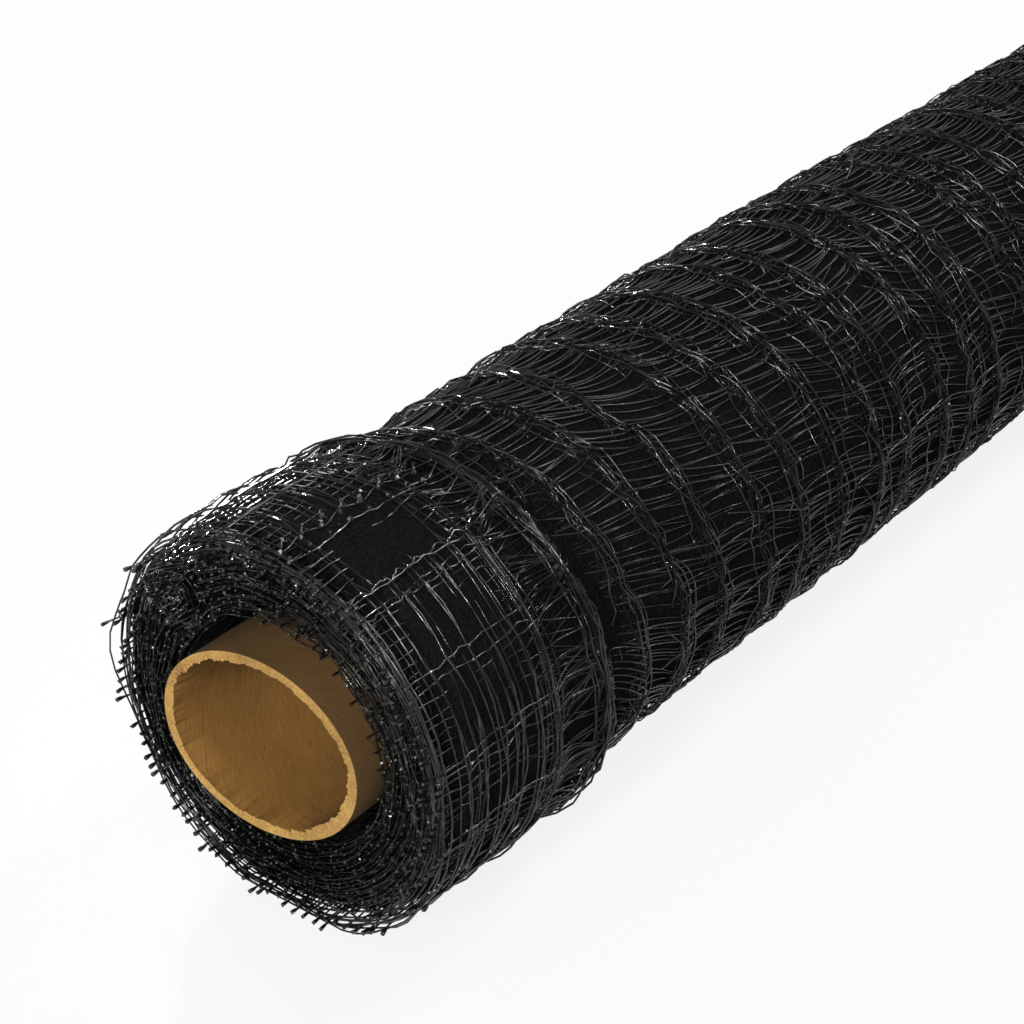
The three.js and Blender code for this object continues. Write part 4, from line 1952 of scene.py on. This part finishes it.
@dataclass
class PaperCore:
    """The paperboard tube: an oval wall with a torn lip at either end."""

    form: RollForm
    mouth_x: float
    far_x: float
    seed: int = 5
    wall: float = 3 * MM
    sides: int = 288
    lip_steps: tuple[float, ...] = (0.2 * MM, 1.8 * MM, 3 * MM, 5 * MM)
    lip_cuts: int = 3
    crease: float = 40 * DEG
    tear: float = 1.1 * MM
    tear_depth: float = 3.2 * MM
    frayed_angle: float = -60 * DEG
    frayed_span: Pair = (0.2, 0.4)
    torn_from: float = 0.30
    worn_angle: float = -48 * DEG
    worn_depth: float = 6 * MM
    worn_span: Pair = (0.10, 0.28)
    worn_bite: float = 0.7
    folded_angle: float = 205 * DEG
    folded_width: float = 0.08
    fold: float = 0.25
    cut_skin: float = 0.05 * MM
    bites: tuple[tuple[int, float], ...] = (
        (2, 0.20), (5, 0.18), (12, 0.20), (27, 0.20), (55, 0.14), (110, 0.10),
    )
    mean_bite: float = 0.42
    bite_gain: float = 1.1
    bite_swirl: float = 1.5
    bite_phase: float = 6.28

    def build(self, material: bpy.types.Material) -> bpy.types.Object:
        """Models the tube and tears its lips.

        Args:
            material: The board's finish.

        Returns:
            The piece.
        """
        form = self.form
        centre = (self.mouth_x, form.axis_y, form.axis_z)
        bpy.ops.object.select_all(action="DESELECT")
        bpy.ops.mesh.primitive_circle_add(
            vertices=self.sides, radius=form.core_half_width, fill_type="NOTHING",
            location=centre, rotation=(0.0, math.pi / 2, 0.0),
        )
        made = bpy.context.active_object
        made.name = made.data.name = "paper_core"
        bpy.ops.object.transform_apply(location=True, rotation=True, scale=True)
        bpy.ops.object.mode_set(mode="EDIT")
        bpy.ops.mesh.select_all(action="SELECT")
        squash = form.core_half_height / form.core_half_width
        bpy.ops.transform.resize(value=(1.0, 1.0, squash), center_override=centre)
        middle = self.far_x - self.mouth_x - 2 * math.fsum(self.lip_steps)
        for step in (*self.lip_steps, middle, *reversed(self.lip_steps)):
            bpy.ops.mesh.extrude_region_move(TRANSFORM_OT_translate={"value": (step, 0.0, 0.0)})
        bpy.ops.mesh.select_all(action="SELECT")
        bpy.ops.mesh.normals_make_consistent(inside=False)
        bpy.ops.object.mode_set(mode="OBJECT")
        self._face_outwards(made)
        thick = made.modifiers.new("wall", "SOLIDIFY")
        thick.thickness = self.wall
        thick.offset = -1.0
        bpy.ops.object.modifier_apply(modifier=thick.name)
        self._divide_ends(made)
        self._tear_lips(made.data)
        bpy.ops.object.shade_smooth_by_angle(angle=self.crease)
        made.data.materials.clear()
        made.data.materials.append(material)
        return made

    def _face_outwards(self, made: bpy.types.Object) -> None:
        """Turns the open tube's faces away from its axis.

        Args:
            made: The tube.
        """
        face = made.data.polygons[0]
        outward = Vector((0.0, face.center.y - self.form.axis_y, face.center.z - self.form.axis_z))
        if face.normal.dot(outward) < 0:
            made.data.flip_normals()

    def _divide_ends(self, made: bpy.types.Object) -> None:
        """Divides the faces of both cut ends.

        Args:
            made: The tube.
        """
        bpy.ops.object.mode_set(mode="EDIT")
        bpy.ops.mesh.select_mode(type="FACE")
        bpy.ops.mesh.select_all(action="DESELECT")
        bpy.ops.object.mode_set(mode="OBJECT")
        for face in made.data.polygons:
            face.select = abs(face.normal.x) > 0.9
        bpy.ops.object.mode_set(mode="EDIT")
        bpy.ops.mesh.subdivide(number_cuts=self.lip_cuts)
        bpy.ops.object.mode_set(mode="OBJECT")

    def _tear_lips(self, mesh: bpy.types.Mesh) -> None:
        """Tears the inner lips of both ends, and marks the bare cut and the outside.

        Args:
            mesh: The tube's mesh.
        """
        points = np.empty(3 * len(mesh.vertices))
        mesh.vertices.foreach_get("co", points)
        points = points.reshape(-1, 3)
        y, z = points[:, 1] - self.form.axis_y, points[:, 2] - self.form.axis_z
        angle = np.arctan2(z, y)
        inward = np.clip((self.form.core_radius(angle) - np.hypot(y, z)) / self.wall, 0.0, 1.0)
        frayed = self.frayed_span[0] + self.frayed_span[1] * (1.0 + np.cos(angle - self.frayed_angle))
        folded = facing(angle, self.folded_angle, self.folded_width)
        cut = np.zeros(len(points))
        for number, (x, way) in enumerate(((self.mouth_x, 1.0), (self.far_x, -1.0))):
            behind = (points[:, 0] - x) * way
            bite = self._ragged(angle, number)
            torn = self.tear * bite * frayed * smooth(inward, self.torn_from, 1.0)
            points[:, 0] += way * torn * (1.0 - smooth(behind, 0.0, self.tear_depth))
            low = np.maximum(0.0, np.cos(angle - self.worn_angle)) ** 2
            worn = self.worn_span[0] + self.worn_span[1] * low
            worn = worn + self.worn_bite * frayed * (bite - self.mean_bite) - self.fold * folded
            gone = self.wall * worn * inward * (1.0 - smooth(behind, 0.0, self.worn_depth))
            points[:, 1] += gone * np.cos(angle)
            points[:, 2] += gone * np.sin(angle)
            cut[behind < self.cut_skin] = 1.0
        mesh.vertices.foreach_set("co", points.ravel())
        for name, mark in (("cut", cut), ("outer", (1.0 - cut) * (inward < 0.5))):
            mesh.attributes.new(name, "FLOAT", "POINT").data.foreach_set("value", mark)
        mesh.update()

    def _ragged(self, angle: Array, number: int) -> Array:
        """How deep the torn lip is bitten at an angle, from 0 to 1.

        Args:
            angle: Angle around the core.
            number: Which end of the core.

        Returns:
            The bite at each angle.
        """
        rng = np.random.default_rng(self.seed + number)
        bite = np.zeros_like(angle)
        for waves, share in self.bites:
            phase = rng.uniform(0, self.bite_phase)
            bite += share * np.sin(waves * angle + phase + self.bite_swirl * np.sin(3 * angle))
        return np.clip(self.mean_bite + self.bite_gain * bite, 0.0, 1.0)


@dataclass(frozen=True)
class SoftBox:
    """One soft box: where it hangs, the point it faces, its size, power in watts and beam."""

    name: str
    at: tuple[float, float, float]
    towards: tuple[float, float, float]
    size: Pair
    power: float
    beam: float = math.pi

    def hang(self) -> None:
        """Adds the box to the scene."""
        light = bpy.data.lights.new(self.name, "AREA")
        light.shape = "RECTANGLE"
        light.size, light.size_y = self.size
        light.energy = self.power
        light.spread = self.beam
        lamp = bpy.data.objects.new(self.name, light)
        lamp.location = self.at
        lamp.rotation_euler = (Vector(self.towards) - Vector(self.at)).to_track_quat("-Z", "Y").to_euler()
        bpy.context.collection.objects.link(lamp)


@dataclass
class Studio:
    """Floor, soft light and the camera at the picture's angle."""

    form: RollForm
    mouth_x: float
    eye: tuple[float, float, float] = (-394.0 * MM, -364.4 * MM, 357.9 * MM)
    heading: float = 35.917 * DEG
    dip: float = 28.608 * DEG
    lens: float = 89.1
    sensor: float = 36.0
    floor_size: float = 30.0
    floor_drop: float = 0.2 * MM
    room_light: float = 0.36
    boxes: tuple[SoftBox, ...] = (
        SoftBox("front_box", (-2.30, -1.52, 1.58), (-0.15, 0.0, 0.05), (0.24, 0.24), 97.0),
        SoftBox("high_box", (-2.65, -0.75, 1.70), (-0.15, 0.0, 0.05), (0.3, 0.3), 80.0),
        SoftBox("back_box", (0.35, 2.10, 1.35), (-0.10, 0.0, 0.05), (0.9, 0.3), 26.0),
        SoftBox("side_box", (1.45, -0.60, 1.95), (-0.10, 0.0, 0.05), (0.7, 0.7), 46.0),
        SoftBox("ridge_box", (1.07, 1.54, 0.91), (-0.26, 0.02, 0.10), (0.15, 0.15), 0.2, 8 * DEG),
    )

    def build(self) -> None:
        """Sets up the whole studio."""
        self._floor()
        self._camera()
        for box in self.boxes:
            box.hang()
        self._room()

    def _floor(self) -> None:
        """Lays a plain pale floor under the roll."""
        bpy.ops.object.select_all(action="DESELECT")
        bpy.ops.mesh.primitive_plane_add(size=self.floor_size, location=(0.0, 0.0, -self.floor_drop))
        floor = bpy.context.active_object
        floor.name = "studio_floor"
        bpy.ops.object.transform_apply(location=True, rotation=True, scale=True)
        floor.data.materials.append(FloorFinish("studio_floor").material())

    def _camera(self) -> None:
        """Places the camera relative to the core's mouth."""
        lens = bpy.data.cameras.new("picture_camera")
        lens.lens = self.lens
        lens.sensor_width = self.sensor
        camera = bpy.data.objects.new("picture_camera", lens)
        mouth = Vector((self.mouth_x, self.form.axis_y, self.form.axis_z))
        camera.location = mouth + Vector(self.eye)
        level = math.cos(self.dip)
        ahead = Vector((level * math.cos(self.heading), level * math.sin(self.heading), -math.sin(self.dip)))
        camera.rotation_euler = ahead.to_track_quat("-Z", "Y").to_euler()
        bpy.context.collection.objects.link(camera)
        bpy.context.scene.camera = camera

    def _room(self) -> None:
        """Brightens the room evenly, and shows its tones as they are."""
        world = bpy.data.worlds.new("studio_room")
        world.use_nodes = True
        background = world.node_tree.nodes["Background"]
        background.inputs["Color"].default_value = (1.0, 1.0, 1.0, 1.0)
        background.inputs["Strength"].default_value = self.room_light
        bpy.context.scene.world = world
        bpy.context.scene.view_settings.view_transform = "Standard"


def keep(piece: bpy.types.Object, slot: str, *nodes: str) -> None:
    """Ties a piece to the part: its body and the solids that it stands for.

    Args:
        piece: The finished piece.
        slot: Not used.
        nodes: Names of the solids that it replaces.
    """
    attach(piece, "root")
    if nodes:
        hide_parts(*nodes)
    LOG.info("%s rides on root", piece.name)


def main() -> None:
    """Builds the dressed roll and its studio."""
    logging.basicConfig(level=logging.INFO, format="%(name)s %(message)s")
    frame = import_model()
    form = RollForm.from_frame()
    core_low, core_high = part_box("core_tube")
    finishes = (
        NettingFinish("netting_plastic"),
        NettingFinish("netting_dusty", dust=0.3),
        # Darker copies of the strand finish with a lower shine, for the packed turns at the cut ends and for
        # the gathers: painted shade.
        NettingFinish("netting_packed_painted_shade", pale=(0.006, 0.006, 0.005), shine=0.14, coat=1.0),
        NettingFinish("netting_gathered_painted_shade", pale=(0.005, 0.005, 0.0045), shine=0.07, coat=0.35),
        DepthsFinish("netting_depths"),
        BoardFinish("kraft_board", core_low[0], form.axis_z),
    )
    strands, dusty, packed, gathered, unlit, board = (finish.material() for finish in finishes)
    round_piece, *under_pieces = OuterTurns(form).build(strands, dusty, gathered)
    keep(round_piece, "netting_loose", "loose_end")
    for piece in under_pieces:
        keep(piece, "netting")
    for number, end in enumerate(End):
        keep(EndTurns(form, end, seed=20 + number).build(packed), "netting")
    keep(CurledTurn(form).build(packed), "netting")
    keep(StrayStrands(form).build(strands), "netting")
    depths = Depths(form).build(frame["nodes"]["netting_roll"], unlit)
    keep(depths, "netting", "netting_roll")
    core = PaperCore(form, core_low[0], core_high[0]).build(board)
    keep(core, "core_board", "core_tube")
    Studio(form, core_low[0]).build()


if __name__ == "__main__":
    main()
